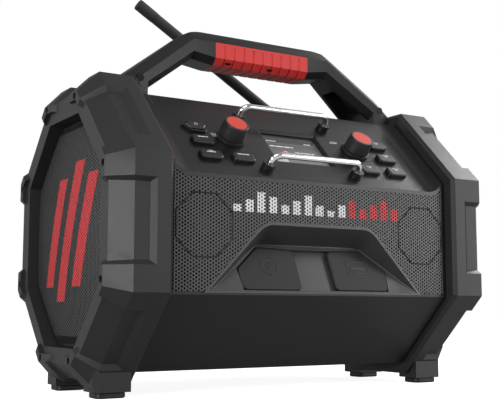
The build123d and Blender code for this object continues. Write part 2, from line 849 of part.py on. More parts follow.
with BuildPart() as front_grille:
    with BuildSketch(front_plane(-cabinet_depth)):
        grille_top = cabinet_upper - cabinet_depth - grille_sheet
        with Locations((0, (grille_bottom + grille_top) / 2)):
            Rectangle(2 * grille_half_length, grille_top - grille_bottom)
    extrude(amount=grille_sheet)
    with BuildSketch(front_plane(panel_front)):
        with Locations(*[(side * driver_offset, 0) for side in (-1, 1)]):
            RegularPolygon(driver_rib, 8, major_radius=False, rotation=22.5)
            RegularPolygon(driver_rib - driver_rib_width, 8, major_radius=False, rotation=22.5, mode=Mode.SUBTRACT)
    extrude(amount=driver_rib_proud)
    add(panel_void.part, mode=Mode.SUBTRACT)
    add(pocket_outer.part, mode=Mode.SUBTRACT)
save("front_grille", front_grille)

door_middle = (door_low + door_high) / 2
door_height = door_high - door_low
hinge_axis_rise = door_low - hinge_drop
hinge_axis_back = cabinet_depth + hinge_out

with BuildPart() as rear_housing:
    add(whole_shell.part)
    add(shell_posts.part)
    split(bisect_by=Plane.XZ, keep=Keep.BOTTOM)
    add(lug(-lug_depth).part)
    with BuildSketch(front_plane(0)):
        with Locations((0, door_middle)):
            Rectangle(2 * (door_half - door_lap), door_height - 2 * door_lap)
        with Locations((inlet_across, inlet_up)):
            Rectangle(inlet_width, inlet_height)
    extrude(amount=-cabinet_depth, mode=Mode.SUBTRACT)
    with BuildSketch(front_plane(0)):
        with Locations(*post_spots):
            Circle(screw_radius + running_gap)
    extrude(amount=-cabinet_depth, mode=Mode.SUBTRACT)
    with BuildSketch(front_plane(post_head_depth)):
        with Locations(*post_spots):
            Circle(screw_head + fit_gap)
    extrude(amount=-cabinet_depth, mode=Mode.SUBTRACT)
    for side in (-1, 1):
        with BuildSketch(Plane(origin=(side * knuckle_inner, 0, axis_height), x_dir=(0, 1, 0),
                               z_dir=(1, 0, 0))):
            with Locations((hinge_axis_back, hinge_axis_rise)):
                Circle(knuckle_radius)
            with Locations((cabinet_depth + hinge_out / 2, hinge_axis_rise)):
                Rectangle(hinge_out, 2 * knuckle_radius)
            with Locations((hinge_axis_back, hinge_axis_rise)):
                Circle(hinge_radius, mode=Mode.SUBTRACT)
        extrude(amount=side * (knuckle_outer - knuckle_inner))
    with BuildSketch(level_plane(axis_height - cabinet_rise + cabinet_wall)):
        for side in (-1, 1):
            for y in (main_board_front + standoff_inset, main_board_back - standoff_inset):
                with Locations((side * (main_board_half - standoff_inset), y)):
                    Circle(standoff_radius)
    extrude(amount=standoff_height)
save("rear_housing", rear_housing)

with BuildPart() as housing_screws:
    with BuildSketch(front_plane(post_head_depth)):
        with Locations(*post_spots):
            Circle(screw_radius)
    extrude(amount=screw_length)
    with BuildSketch(front_plane(post_head_depth)):
        with Locations(*post_spots):
            Circle(screw_head)
    extrude(amount=-screw_head)
save("housing_screws", housing_screws)


# ---------------------------------------------------------------- battery bay, inlet and electronics
with BuildPart() as battery_box:
    with BuildSketch(front_plane(cabinet_depth - cabinet_wall)):
        with Locations((0, door_middle)):
            Rectangle(2 * (door_half - door_lap + battery_wall), door_height - 2 * (door_lap - battery_wall))
    extrude(amount=battery_depth)
    with BuildSketch(front_plane(cabinet_depth - cabinet_wall)):
        with Locations((0, door_middle)):
            Rectangle(2 * (door_half - door_lap), door_height - 2 * door_lap)
    extrude(amount=battery_depth - battery_wall, mode=Mode.SUBTRACT)
save("battery_box", battery_box)

with BuildPart() as battery_door:
    with BuildSketch(front_plane(cabinet_depth + fit_gap)):
        with Locations((0, door_middle)):
            RectangleRounded(2 * door_half, door_height, door_lap)
    extrude(amount=-door_thickness)
    chamfer(battery_door.faces().sort_by(Axis.Y)[-1].edges(), door_thickness / 4)
    with BuildSketch(Plane(origin=(0, 0, axis_height), x_dir=(0, 1, 0), z_dir=(1, 0, 0))):
        with Locations((hinge_axis_back, hinge_axis_rise)):
            Circle(knuckle_radius)
        Polygon((cabinet_depth + fit_gap, door_low + door_lap),
                (cabinet_depth + fit_gap + door_thickness, door_low + door_lap),
                (hinge_axis_back + knuckle_radius, hinge_axis_rise), (hinge_axis_back, hinge_axis_rise),
                align=None)
        with Locations((hinge_axis_back, hinge_axis_rise)):
            Circle(hinge_radius + running_gap, mode=Mode.SUBTRACT)
    extrude(amount=knuckle_inner - fit_gap, both=True)
save("battery_door", battery_door)

with BuildPart() as battery_hinge_pin:
    with BuildSketch(Plane(origin=(0, hinge_axis_back, axis_height + hinge_axis_rise), z_dir=(1, 0, 0))):
        Circle(hinge_radius)
    extrude(amount=knuckle_outer, both=True)
save("battery_hinge_pin", battery_hinge_pin)

with BuildPart() as mains_inlet:
    with BuildSketch(front_plane(cabinet_depth + grille_sheet)):
        with Locations((inlet_across, inlet_up)):
            RectangleRounded(inlet_width + 2 * door_lap, inlet_height + 2 * door_lap, door_lap)
    extrude(amount=grille_sheet)
    with BuildSketch(front_plane(cabinet_depth)):
        with Locations((inlet_across, inlet_up)):
            Rectangle(inlet_width, inlet_height)
    extrude(amount=inlet_depth)
    with BuildSketch(front_plane(cabinet_depth + grille_sheet)):
        with Locations((inlet_across, inlet_up)):
            RectangleRounded(inlet_width - 2 * door_lap, inlet_height - 2 * door_lap, door_lap)
    extrude(amount=inlet_depth - door_lap, mode=Mode.SUBTRACT)
save("mains_inlet", mains_inlet)

with BuildPart() as main_board:
    with BuildSketch(level_plane(axis_height - cabinet_rise + cabinet_wall + standoff_height)):
        with Locations((0, (main_board_front + main_board_back) / 2)):
            Rectangle(2 * main_board_half, main_board_back - main_board_front)
    extrude(amount=board_thickness)
save("main_board", main_board)

with BuildPart() as power_supply:
    with BuildSketch(level_plane(axis_height - cabinet_rise + cabinet_wall)):
        with Locations(((supply_start + supply_end) / 2, (main_board_front + main_board_back) / 2)):
            Rectangle(supply_end - supply_start, main_board_back - main_board_front)
    extrude(amount=supply_height)
save("power_supply", power_supply)


# ---------------------------------------------------------------- end baffles, side grilles and woofers
def radial_plane(origin, outward, across):
    """Plane through a speaker's axis, with X across it and Y outwards along it."""
    return Plane(origin=origin, x_dir=across, z_dir=Vector(across).cross(Vector(outward)))


def baffle(side):
    with BuildPart() as built:
        with BuildSketch(cross_plane(cabinet_length, side)):
            cabinet_section()
            Circle(woofer_bore, mode=Mode.SUBTRACT)
        extrude(amount=baffle_thickness)
        with BuildSketch(cross_plane(cabinet_length + baffle_thickness, side)):
            opening_section(fit_gap)
            opening_section(collar_width, Mode.SUBTRACT)
        extrude(amount=collar_height)
        with BuildSketch(cross_plane(cabinet_length, side)):
            rim_screw_centres(screw_radius + running_gap)
        extrude(amount=baffle_thickness, mode=Mode.SUBTRACT)
    return built


def side_grille(side):
    """A sheet pressed into a raised pan, with a flat border on the baffle's collar."""
    border = collar_width / 3
    seat = cabinet_length + baffle_thickness + collar_height
    rise = side_grille_rise
    with BuildPart() as built:
        with BuildSketch(cross_plane(seat, side)):
            opening_section(2 * fit_gap)
        extrude(amount=grille_sheet)
        with BuildSketch(cross_plane(seat + grille_sheet, side)):
            opening_section(2 * fit_gap + border)
        with BuildSketch(cross_plane(seat + grille_sheet + rise, side)):
            opening_section(2 * fit_gap + border + side_grille_ramp)
        loft(ruled=True)
        with BuildSketch(cross_plane(seat, side)):
            opening_section(2 * fit_gap + border + grille_sheet / 2)
        with BuildSketch(cross_plane(seat + rise, side)):
            opening_section(2 * fit_gap + border + side_grille_ramp + grille_sheet / 2)
        loft(ruled=True, mode=Mode.SUBTRACT)
    return built


def woofer_basket(side):
    face = cabinet_length + baffle_thickness
    floor = magnet_depth - woofer_depth
    centre = (side * face, 0, axis_height)
    with BuildPart() as built:
        with BuildSketch(radial_plane(centre, (side, 0, 0), (0, 1, 0))):
            inner = woofer_bore - woofer_ledge
            floor_edge = woofer_magnet - basket_step
            Polygon((woofer_flange, 0), (woofer_flange, flange_thickness), (inner, flange_thickness), (inner, 0),
                    (floor_edge - basket_sheet, floor + basket_sheet), (woofer_neck, floor + basket_sheet),
                    (woofer_neck, floor), (floor_edge, floor), (woofer_bore - fit_gap, -basket_sheet),
                    (woofer_bore - fit_gap, 0), align=None)
        revolve(axis=Axis(centre, (1, 0, 0)))
    return built


def cone_profile(outer, seat, roll, neck, neck_depth, sheet):
    """Half section of a speaker cone: rim, rolled surround, paper cone and dust cap."""
    roll_start = outer - roll / 2
    roll_end = roll_start - 2 * roll
    face = seat + sheet
    cap_base = neck_depth + sheet
    cap_height = neck / 3
    cap_top = cap_base + cap_height
    dome = (neck ** 2 + cap_height ** 2) / (2 * cap_height)
    turn = asin(neck / dome) / 2
    with BuildLine() as outline:
        Polyline((0, neck_depth), (neck, neck_depth), (roll_end, seat), (outer, seat), (outer, face),
                 (roll_start, face))
        ThreePointArc((roll_start, face), ((roll_start + roll_end) / 2, face + roll), (roll_end, face))
        Line((roll_end, face), (neck, cap_base))
        ThreePointArc((neck, cap_base), (dome * sin(turn), cap_top - dome * (1 - cos(turn))),
                      (0, cap_top))
        Line((0, cap_top), (0, neck_depth))
    make_face(outline.edges())


def woofer_cone(side):
    centre = (side * (cabinet_length + baffle_thickness), 0, axis_height)
    with BuildPart() as built:
        with BuildSketch(radial_plane(centre, (side, 0, 0), (0, 1, 0))):
            cone_profile(woofer_flange - basket_sheet, flange_thickness, woofer_roll, woofer_neck, woofer_neck_depth,
                         cone_sheet)
        revolve(axis=Axis(centre, (1, 0, 0)))
    return built


for name, side in both_sides:
    save(f"{name}_baffle", baffle(side))
    save(f"{name}_side_grille", side_grille(side))
    save(f"{name}_woofer_basket", woofer_basket(side))
    save(f"{name}_woofer_cone", woofer_cone(side))

with BuildPart() as woofer_magnets:
    for side in (-1, 1):
        with BuildSketch(cross_plane(cabinet_length + baffle_thickness - woofer_depth, side)):
            Circle(woofer_magnet)
        extrude(amount=magnet_depth)
save("woofer_magnets", woofer_magnets)


# ---------------------------------------------------------------- small drivers
driver_seat = -(cabinet_depth - cabinet_wall)
driver_floor = driver_magnet_height - driver_depth

with BuildPart() as driver_baskets:
    for side in (-1, 1):
        centre = (side * driver_offset, driver_seat, axis_height)
        with BuildSketch(radial_plane(centre, (0, -1, 0), (1, 0, 0))):
            inner = driver_bore - driver_wall
            floor_edge = driver_magnet - driver_wall / 2
            Polygon((driver_ring, 0), (inner, 0), (floor_edge - driver_wall, driver_floor + driver_wall),
                    (driver_neck, driver_floor + driver_wall), (driver_neck, driver_floor),
                    (floor_edge, driver_floor), (inner + driver_wall, -driver_wall),
                    (driver_ring, -driver_wall), align=None)
        revolve(axis=Axis(centre, (0, 1, 0)))
save("driver_baskets", driver_baskets)

with BuildPart() as driver_cones:
    for side in (-1, 1):
        centre = (side * driver_offset, driver_seat, axis_height)
        with BuildSketch(radial_plane(centre, (0, -1, 0), (1, 0, 0))):
            cone_profile(driver_bore - fit_gap, 0, driver_roll, driver_neck, driver_neck_depth, driver_sheet)
        revolve(axis=Axis(centre, (0, 1, 0)))
save("driver_cones", driver_cones)

with BuildPart() as driver_magnets:
    with BuildSketch(front_plane(driver_seat + driver_depth)):
        with Locations(*[(side * driver_offset, 0) for side in (-1, 1)]):
            Circle(driver_magnet)
    extrude(amount=driver_magnet_height)
save("driver_magnets", driver_magnets)


# ---------------------------------------------------------------- handle
handle_fall = (handle_top - handle_end_height) / (handle_reach - handle_flat)
grip_level = handle_top - handle_chamfer


def handle_height(x):
    return handle_top - handle_fall * max(0, x - handle_flat)


def handle_width(x, inset=0.0):
    """Half width of the frame, narrow at the grip and wider over the feet."""
    spread = min(1, max(0, x - handle_flat) / (bolt_across - handle_flat))
    return handle_half + (leg_half - handle_half) * spread - inset


def handle_section(x):
    half = handle_width(x)
    top = handle_height(x) - axis_height
    low = cabinet_rise - handle_chamfer
    Polygon((-half, low), (half, low), (half, top - handle_chamfer), (half - handle_chamfer, top),
            (handle_chamfer - half, top), (-half, top - handle_chamfer), align=None)


def handle_outline():
    """Front view of the frame."""
    half = [(handle_flat, handle_top), (handle_reach, handle_end_height),
            (handle_reach, foot_shoulder + handle_reach - foot_end), (foot_end, foot_shoulder),
            (foot_end, body_top), (foot_start, body_top), (foot_start, leg_under),
            (handle_flat, handle_bend), (grip_half, handle_under)]
    points = half + [(-x, z) for x, z in reversed(half)]
    outline = Polygon(*[(x, z - axis_height) for x, z in points], align=None)
    fillet(outline.vertices().sort_by(Axis.Y)[-2:], bend_round)


def bevel_section(corner, front):
    """Section of what is cut off a lower corner of the frame, given its place and height along the handle."""
    x, height = corner
    half, low = handle_width(x), height - axis_height
    Polygon((front * (half + 1), low + grip_bevel + 1), (front * (half - grip_bevel - 1), low - 1),
            (front * (half + 1), low - 1), align=None)


def grip_outline(inset=0.0, mode=Mode.ADD):
    """Section of the grip, from the foot of the frame's shoulders round its bevelled underside."""
    half = handle_half - inset
    low = handle_under + inset
    right = [(half, grip_level), (half, low + grip_bevel), (half - grip_bevel, low)]
    points = right + [(-y, z) for y, z in reversed(right)]
    Polygon(*[(y, z - axis_height) for y, z in points], align=None, mode=mode)


def core_outline(mode=Mode.ADD):
    """Section of the frame inside the grip, which keeps its top and its shoulders."""
    half = handle_half - grip_wall
    low = handle_under + grip_wall
    bevel = grip_bevel - grip_wall * (2 - 1 / half_turn)
    right = [(handle_half - handle_chamfer, handle_top), (handle_half, grip_level), (half, grip_level),
             (half, low + bevel), (half - bevel, low)]
    points = right + [(-y, z) for y, z in reversed(right)]
    Polygon(*[(y, z - axis_height) for y, z in points], align=None, mode=mode)


def fork_gap(side):
    """The space between the front and rear legs, under a skin along the top."""
    skin = skin_thickness * sqrt(1 + handle_fall ** 2)
    end = handle_reach + 1
    with BuildPart() as gap:
        with BuildSketch(front_plane(leg_half)):
            Polygon(*[(side * x, z - axis_height) for x, z in (
                (fork_start, body_top - 1), (fork_start, handle_height(fork_start) - skin),
                (end, handle_height(end) - skin), (end, body_top - 1))], align=None)
        extrude(amount=2 * leg_half)
        with BuildSketch(level_plane(body_top - 1)):
            right = [(fork_start, handle_width(fork_start, leg_wall)),
                     (bolt_across - boss_radius - fit_gap, lug_depth), (end, lug_depth)]
            Polygon(*[(side * x, y) for x, y in right + [(x, -y) for x, y in reversed(right)]], align=None)
        extrude(amount=handle_top - body_top, mode=Mode.INTERSECT)
    return gap


bolt_spots = [(side * bolt_across, bolt_height - axis_height) for side in (-1, 1)]

under_corners = [(grip_half, handle_under), (handle_flat, handle_bend), (foot_start, leg_under)]

with BuildPart() as under_bevels:
    for front in (-1, 1):
        with BuildSketch(cross_plane(-grip_half)):
            bevel_section(under_corners[0], front)
        extrude(amount=2 * grip_half)
        for side in (-1, 1):
            for start, end in zip(under_corners, under_corners[1:]):
                with BuildSketch(cross_plane(start[0], side)):
                    bevel_section(start, front)
                with BuildSketch(cross_plane(end[0], side)):
                    bevel_section(end, front)
                loft(ruled=True)

with BuildPart() as handle:
    with BuildSketch(cross_plane(-handle_flat)):
        handle_section(0)
    extrude(amount=2 * handle_flat)
    for side in (-1, 1):
        for start, end in ((handle_flat, bolt_across), (bolt_across, handle_reach)):
            with BuildSketch(cross_plane(start, side)):
                handle_section(start)
            with BuildSketch(cross_plane(end, side)):
                handle_section(end)
            loft(ruled=True)
    with BuildSketch(front_plane(leg_half)):
        handle_outline()
    extrude(amount=2 * leg_half, mode=Mode.INTERSECT)
    add(under_bevels.part, mode=Mode.SUBTRACT)
    for side in (-1, 1):
        add(fork_gap(side).part, mode=Mode.SUBTRACT)
    with BuildSketch(cross_plane(-grip_half)):
        with Locations((0, handle_top - axis_height)):
            Rectangle(4 * handle_half, 4 * handle_half)
        core_outline(Mode.SUBTRACT)
    extrude(amount=2 * grip_half, mode=Mode.SUBTRACT)
    with BuildSketch(front_plane(leg_half)):
        with Locations(*bolt_spots):
            Circle(bolt_radius + running_gap)
    extrude(amount=2 * leg_half, mode=Mode.SUBTRACT)
    for front in (-1, 1):
        with BuildSketch(front_plane(front * (leg_half - bolt_head_sink))):
            with Locations(*bolt_spots):
                Circle(bolt_head + fit_gap)
        extrude(amount=-front * bolt_head_sink, mode=Mode.SUBTRACT)
save("handle", handle)

with BuildPart() as handle_grip:
    with BuildSketch(cross_plane(-grip_half)):
        grip_outline()
        core_outline(Mode.SUBTRACT)
    extrude(amount=2 * grip_half)
    groove_pitch = 2 * grip_half / (grip_groove_count + 1)
    for groove in range(1, grip_groove_count + 1):
        with BuildSketch(cross_plane(-grip_half + groove * groove_pitch - grip_groove)):
            with Locations((0, handle_under - axis_height)):
                Rectangle(4 * handle_half, 2 * (grip_level - groove_margin - handle_under))
            grip_outline(grip_groove, Mode.SUBTRACT)
        extrude(amount=2 * grip_groove, mode=Mode.SUBTRACT)
save("handle_grip", handle_grip)

with BuildPart() as handle_bolts:
    for front in (-1, 1):
        with BuildSketch(front_plane(front * (leg_half - bolt_head_sink))):
            with Locations(*bolt_spots):
                Circle(bolt_head)
        extrude(amount=-front * (bolt_head_sink - fit_gap))
        with BuildSketch(front_plane(front * (leg_half - bolt_head_sink))):
            with Locations(*bolt_spots):
                Circle(bolt_radius)
        extrude(amount=front * bolt_reach)
save("handle_bolts", handle_bolts)


# ---------------------------------------------------------------- antenna
pivot = Vector(antenna_across, antenna_back, pivot_height)
mast_turn = radians(mast_tilt)
mast_direction = Vector(-cos(mast_turn), 0, sin(mast_turn))
ear_inner = mast_eye / 2 + fit_gap

with BuildPart() as antenna_base:
    with BuildSketch(Plane(origin=(antenna_across, antenna_back, swivel_top))):
        Circle(swivel_radius)
    extrude(amount=-2 * swivel_radius - swivel_post_length)
    with BuildSketch(Plane(origin=(antenna_across, antenna_back, swivel_top))):
        Circle(swivel_post + running_gap)
    extrude(amount=-swivel_post_length - fit_gap, mode=Mode.SUBTRACT)
    add(cabinet_form.part, mode=Mode.SUBTRACT)
save("antenna_base", antenna_base)

with BuildPart() as antenna_knuckle:
    with BuildSketch(Plane(origin=(antenna_across, antenna_back, swivel_top - swivel_post_length))):
        Circle(swivel_post)
    extrude(amount=swivel_post_length + fit_gap)
    with BuildSketch(Plane(origin=(antenna_across, antenna_back, swivel_top + fit_gap))):
        Circle(knuckle_plate)
    extrude(amount=knuckle_plate_thickness)
    for front in (-1, 1):
        ear_plane = Plane(origin=(antenna_across, antenna_back + front * ear_inner, pivot_height),
                          x_dir=(-front, 0, 0), z_dir=(0, front, 0))
        with BuildSketch(ear_plane):
            Circle(ear_radius)
            drop = pivot_height - swivel_top - fit_gap - knuckle_plate_thickness / 2
            with Locations((0, -drop / 2)):
                Rectangle(2 * ear_radius, drop)
            Circle(tilt_pin_radius, mode=Mode.SUBTRACT)
        extrude(amount=ear_thickness)
save("antenna_knuckle", antenna_knuckle)

with BuildPart() as antenna_tilt_pin:
    with BuildSketch(Plane(origin=pivot, z_dir=(0, 1, 0))):
        Circle(tilt_pin_radius)
    extrude(amount=ear_inner + ear_thickness, both=True)
save("antenna_tilt_pin", antenna_tilt_pin)

with BuildPart() as antenna_mast:
    with BuildSketch(Plane(origin=pivot, x_dir=mast_direction, z_dir=(0, 1, 0))):
        Circle(mast_radius)
        with Locations((mast_start / 2 + mast_eye / 4, 0)):
            Rectangle(mast_start + mast_eye / 2, 2 * mast_radius)
        Circle(tilt_pin_radius + running_gap, mode=Mode.SUBTRACT)
    extrude(amount=mast_eye / 2, both=True)
    mast_base = pivot + mast_direction * mast_start
    with BuildSketch(Plane(origin=mast_base, x_dir=(0, 1, 0), z_dir=mast_direction)):
        Circle(mast_radius)
    extrude(amount=mast_length - mast_tip_length - mast_start)
save("antenna_mast", antenna_mast)

with BuildPart() as antenna_tip:
    tip_base = pivot + mast_direction * (mast_length - mast_tip_length)
    with BuildSketch(Plane(origin=tip_base, x_dir=(0, 1, 0), z_dir=mast_direction)):
        Circle(mast_radius + tip_swell)
    extrude(amount=mast_tip_length)
    chamfer(antenna_tip.edges().filter_by(GeomType.CIRCLE), tip_swell * 2)
save("antenna_tip", antenna_tip)


# ---------------------------------------------------------------- feet pads and rim screws
with BuildPart() as foot_pads:
    with BuildSketch(level_plane(0)):
        for side in (-1, 1):
            for front in (-1, 1):
                with Locations((side * (foot_inner + foot_outer) / 2, front * (foot_front + foot_back) / 2)):
                    RectangleRounded(foot_outer - foot_inner - 2 * pad_inset,
                                     foot_front - foot_back - 2 * pad_inset, pad_corner)
    extrude(amount=foot_bottom)
save("foot_pads", foot_pads)

with BuildPart() as bumper_screws:
    for side in (-1, 1):
        with BuildSketch(cross_plane(rim_face - rim_screw_sink, side)):
            rim_screw_centres(screw_radius)
        extrude(amount=-rim_screw_length)
        with BuildSketch(cross_plane(rim_face - rim_screw_sink, side)):
            rim_screw_centres(screw_head)
        extrude(amount=screw_head - screw_radius / 2)
save("bumper_screws", bumper_screws)
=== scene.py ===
"""Looks of the jobsite radio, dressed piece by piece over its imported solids.

Metres, +Z up, the front of the radio faces -Y.
"""

from math import cos, pi, radians, sin, sqrt

import bmesh
import bpy
from mathutils import Matrix, Vector


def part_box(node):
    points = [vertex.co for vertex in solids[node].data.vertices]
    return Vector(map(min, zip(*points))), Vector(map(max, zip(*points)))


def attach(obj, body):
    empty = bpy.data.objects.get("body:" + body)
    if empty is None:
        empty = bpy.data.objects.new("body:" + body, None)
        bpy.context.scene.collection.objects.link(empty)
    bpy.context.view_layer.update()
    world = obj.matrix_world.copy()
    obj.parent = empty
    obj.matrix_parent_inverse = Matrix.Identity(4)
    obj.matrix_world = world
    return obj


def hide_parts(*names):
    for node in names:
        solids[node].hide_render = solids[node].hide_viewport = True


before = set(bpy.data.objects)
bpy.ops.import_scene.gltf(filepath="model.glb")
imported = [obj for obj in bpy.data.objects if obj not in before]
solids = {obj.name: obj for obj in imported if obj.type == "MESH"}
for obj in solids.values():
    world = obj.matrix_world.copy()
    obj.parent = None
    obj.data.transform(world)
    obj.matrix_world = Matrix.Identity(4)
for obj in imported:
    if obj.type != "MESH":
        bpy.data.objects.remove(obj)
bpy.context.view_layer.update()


# ---------------------------------------------------------------- studio
# A pale table and soft boxes at the sides and overhead, because the radio's rubber facets
# are told apart by how they face the light. The camera is low, ahead of the left end, and
# looks slightly up. Its lens is given by its focal length in pixels of the frame's width.
scene = bpy.context.scene
scene.view_settings.view_transform = "Standard"


def link(name, data):
    """A new object holding the data, at the origin."""
    made = bpy.data.objects.new(name, data)
    scene.collection.objects.link(made)
    return made


focal_pixels, frame_pixels, sensor_width = 941.7, 500, 36.0
camera_place = (-0.5276, -0.8589, 0.0805)
camera_turn, camera_rise, camera_roll = -31.36, 6.58, 0.08
camera = link("camera", bpy.data.cameras.new("camera"))
camera.data.sensor_width = sensor_width
camera.data.lens = focal_pixels / frame_pixels * sensor_width
camera.data.clip_start = 0.05
camera.matrix_world = (
    Matrix.Translation(camera_place)
    @ Matrix.Rotation(radians(camera_turn), 4, "Z")
    @ Matrix.Rotation(radians(90 + camera_rise), 4, "X")
    @ Matrix.Rotation(radians(camera_roll), 4, "Z")
)
scene.camera = camera


def soft_box(name, place, target, width, height, power):
    """An area lamp at a place, turned to face a target, with its size and its power in watts."""
    lamp = bpy.data.lights.new(name, "AREA")
    lamp.shape = "RECTANGLE"
    lamp.size, lamp.size_y, lamp.energy = width, height, power
    aim = Vector(target) - Vector(place)
    turn = aim.to_track_quat("-Z", "Y").to_matrix().to_4x4()
    link(name, lamp).matrix_world = Matrix.Translation(place) @ turn


cabinet_middle = (0, 0, 0.16)
soft_box("left_box", (-1.5, -0.75, 0.12), (-0.2, -0.1, 0.15), 0.35, 0.7, 19)
soft_box("back_left_box", (-1.3, 1.3, 0.35), (-0.2, 0, 0.16), 0.4, 0.9, 3)
soft_box("front_left_box", (-0.8, -0.9, 1.2), cabinet_middle, 0.8, 0.8, 9)
soft_box("front_box", (0.9, -1.5, 0.35), cabinet_middle, 0.8, 0.8, 5)
soft_box("front_right_box", (1.3, -1.2, 0.3), (0.1, -0.1, 0.16), 0.5, 0.7, 6.5)
soft_box("high_right_box", (1.1, -0.85, 1.12), (0.04, -0.11, 0.13), 0.4, 0.5, 4.2)
soft_box("right_box", (1.5, 0.15, 1.2), (0.15, 0, 0.25), 0.45, 0.6, 13)
soft_box("top_box", (0.78, 0.1, 1.38), (0.04, -0.08, 0.25), 0.36, 0.7, 0.45)


def group_math(tree, operation, first, second):
    """A math node on two sockets or numbers."""
    node = tree.nodes.new("ShaderNodeMath")
    node.operation = operation
    for slot, value in enumerate((first, second)):
        if isinstance(value, (int, float)):
            node.inputs[slot].default_value = value
        else:
            tree.links.new(value, node.inputs[slot])
    return node.outputs[0]


def ray_level(tree, dim, glossy, seen):
    """The brightness of the backdrop: one value each for what lights, mirrors and shows it."""
    path = tree.nodes.new("ShaderNodeLightPath")
    level = dim
    for ray, value in (("Is Glossy Ray", glossy), ("Is Transmission Ray", seen), ("Is Camera Ray", seen)):
        level = group_math(tree, "MAXIMUM", group_math(tree, "MULTIPLY", path.outputs[ray], value), level)
    return level


world = bpy.data.worlds.new("studio")
scene.world = world
world.use_nodes = True
sky = world.node_tree.nodes["Background"]
sky.inputs["Color"].default_value = (1, 1, 1, 1)
sky_level = ray_level(world.node_tree, dim=0.14, glossy=0.26, seen=1.0)
world.node_tree.links.new(sky_level, sky.inputs["Strength"])


def plain_material(name, colour, roughness, metallic=0.0):
    """A material whose principled shader holds the plain values, with its tree and shader."""
    made = bpy.data.materials.new(name)
    made.use_nodes = True
    shader = made.node_tree.nodes["Principled BSDF"]
    shader.inputs["Base Color"].default_value = (*colour, 1)
    shader.inputs["Roughness"].default_value = roughness
    shader.inputs["Metallic"].default_value = metallic
    return made, made.node_tree, shader


table_white, table_tree, table_shader = plain_material("table_white", (0.9, 0.9, 0.9), 0.9)
table_shader.inputs["Specular IOR Level"].default_value = 0.0
table_shader.inputs["Emission Color"].default_value = (1, 1, 1, 1)
table_glow = ray_level(table_tree, dim=0.0, glossy=0.13, seen=0.88)
table_tree.links.new(table_glow, table_shader.inputs["Emission Strength"])
table_tint = table_tree.nodes.new("ShaderNodeCombineColor")
for channel in table_tint.inputs:
    table_tree.links.new(ray_level(table_tree, dim=0.06, glossy=0.5, seen=0.9), channel)
table_tree.links.new(table_tint.outputs["Color"], table_shader.inputs["Base Color"])
table_reach = 40
table_mesh = bmesh.new()
bmesh.ops.create_grid(table_mesh, x_segments=1, y_segments=1, size=table_reach)
table_data = bpy.data.meshes.new("table")
table_mesh.to_mesh(table_data)
table_mesh.free()
table_data.materials.append(table_white)
link("table", table_data)


# ---------------------------------------------------------------- end bumpers and feet
# Thick rubber mouldings with a fine eroded grain. Every edge has a small radius from
# the mould, and faint scuffs here and there are a little paler and drier.
def new_group(name, inputs, outputs):
    """A shader node group with named sockets, and its input and output nodes."""
    group = bpy.data.node_groups.new(name, "ShaderNodeTree")
    for label, kind, value in inputs:
        group.interface.new_socket(name=label, in_out="INPUT", socket_type=kind).default_value = value
    for label, kind in outputs:
        group.interface.new_socket(name=label, in_out="OUTPUT", socket_type=kind)
    return group, group.nodes.new("NodeGroupInput"), group.nodes.new("NodeGroupOutput")


def add_noise(tree, coords, scale, detail):
    """A noise texture on the given coordinates, in cells per metre."""
    noise = tree.nodes.new("ShaderNodeTexNoise")
    noise.inputs["Scale"].default_value = scale
    noise.inputs["Detail"].default_value = detail
    tree.links.new(coords, noise.inputs["Vector"])
    return noise


# The moulded skin: slow patches of tone, faint scuffs that dry the surface, fine grain.
skin, skin_in, skin_out = new_group(
    "moulded_skin",
    [("Colour", "NodeSocketColor", (0.1, 0.1, 0.1, 1)),
     ("Worn Colour", "NodeSocketColor", (0.2, 0.2, 0.2, 1)),
     ("Patches", "NodeSocketFloat", 0.2), ("Scuffs", "NodeSocketFloat", 0.2),
     ("Roughness", "NodeSocketFloat", 0.5), ("Grain Scale", "NodeSocketFloat", 900.0)],
    [("Colour", "NodeSocketColor"), ("Roughness", "NodeSocketFloat"), ("Grain", "NodeSocketFloat")])
patch_scale, scuff_scale, grain_scale = 11, 140, 900
skin_coords = skin.nodes.new("ShaderNodeTexCoord").outputs["Object"]
patches = add_noise(skin, skin_coords, patch_scale, detail=3)
scuffs = add_noise(skin, skin_coords, scuff_scale, detail=7)
scuffs.inputs["Distortion"].default_value = 1.5
grain = add_noise(skin, skin_coords, grain_scale, detail=2)
skin.links.new(skin_in.outputs["Grain Scale"], grain.inputs["Scale"])
scuff_mask = skin.nodes.new("ShaderNodeMapRange")
scuff_mask.inputs["From Min"].default_value = 0.56
scuff_mask.inputs["From Max"].default_value = 0.74
skin.links.new(scuffs.outputs["Fac"], scuff_mask.inputs["Value"])
patch_part = group_math(skin, "MULTIPLY", patches.outputs["Fac"], skin_in.outputs["Patches"])
scuff_part = group_math(skin, "MULTIPLY", scuff_mask.outputs["Result"], skin_in.outputs["Scuffs"])
worn = group_math(skin, "ADD", patch_part, scuff_part)
tone = skin.nodes.new("ShaderNodeMix")
tone.data_type = "RGBA"
skin.links.new(worn, tone.inputs["Factor"])
skin.links.new(skin_in.outputs["Colour"], tone.inputs["A"])
skin.links.new(skin_in.outputs["Worn Colour"], tone.inputs["B"])
skin.links.new(tone.outputs["Result"], skin_out.inputs["Colour"])
drying = 0.35
dryness = group_math(skin, "MULTIPLY", worn, drying)
skin_roughness = group_math(skin, "ADD", skin_in.outputs["Roughness"], dryness)
skin.links.new(skin_roughness, skin_out.inputs["Roughness"])
skin.links.new(grain.outputs["Fac"], skin_out.inputs["Grain"])


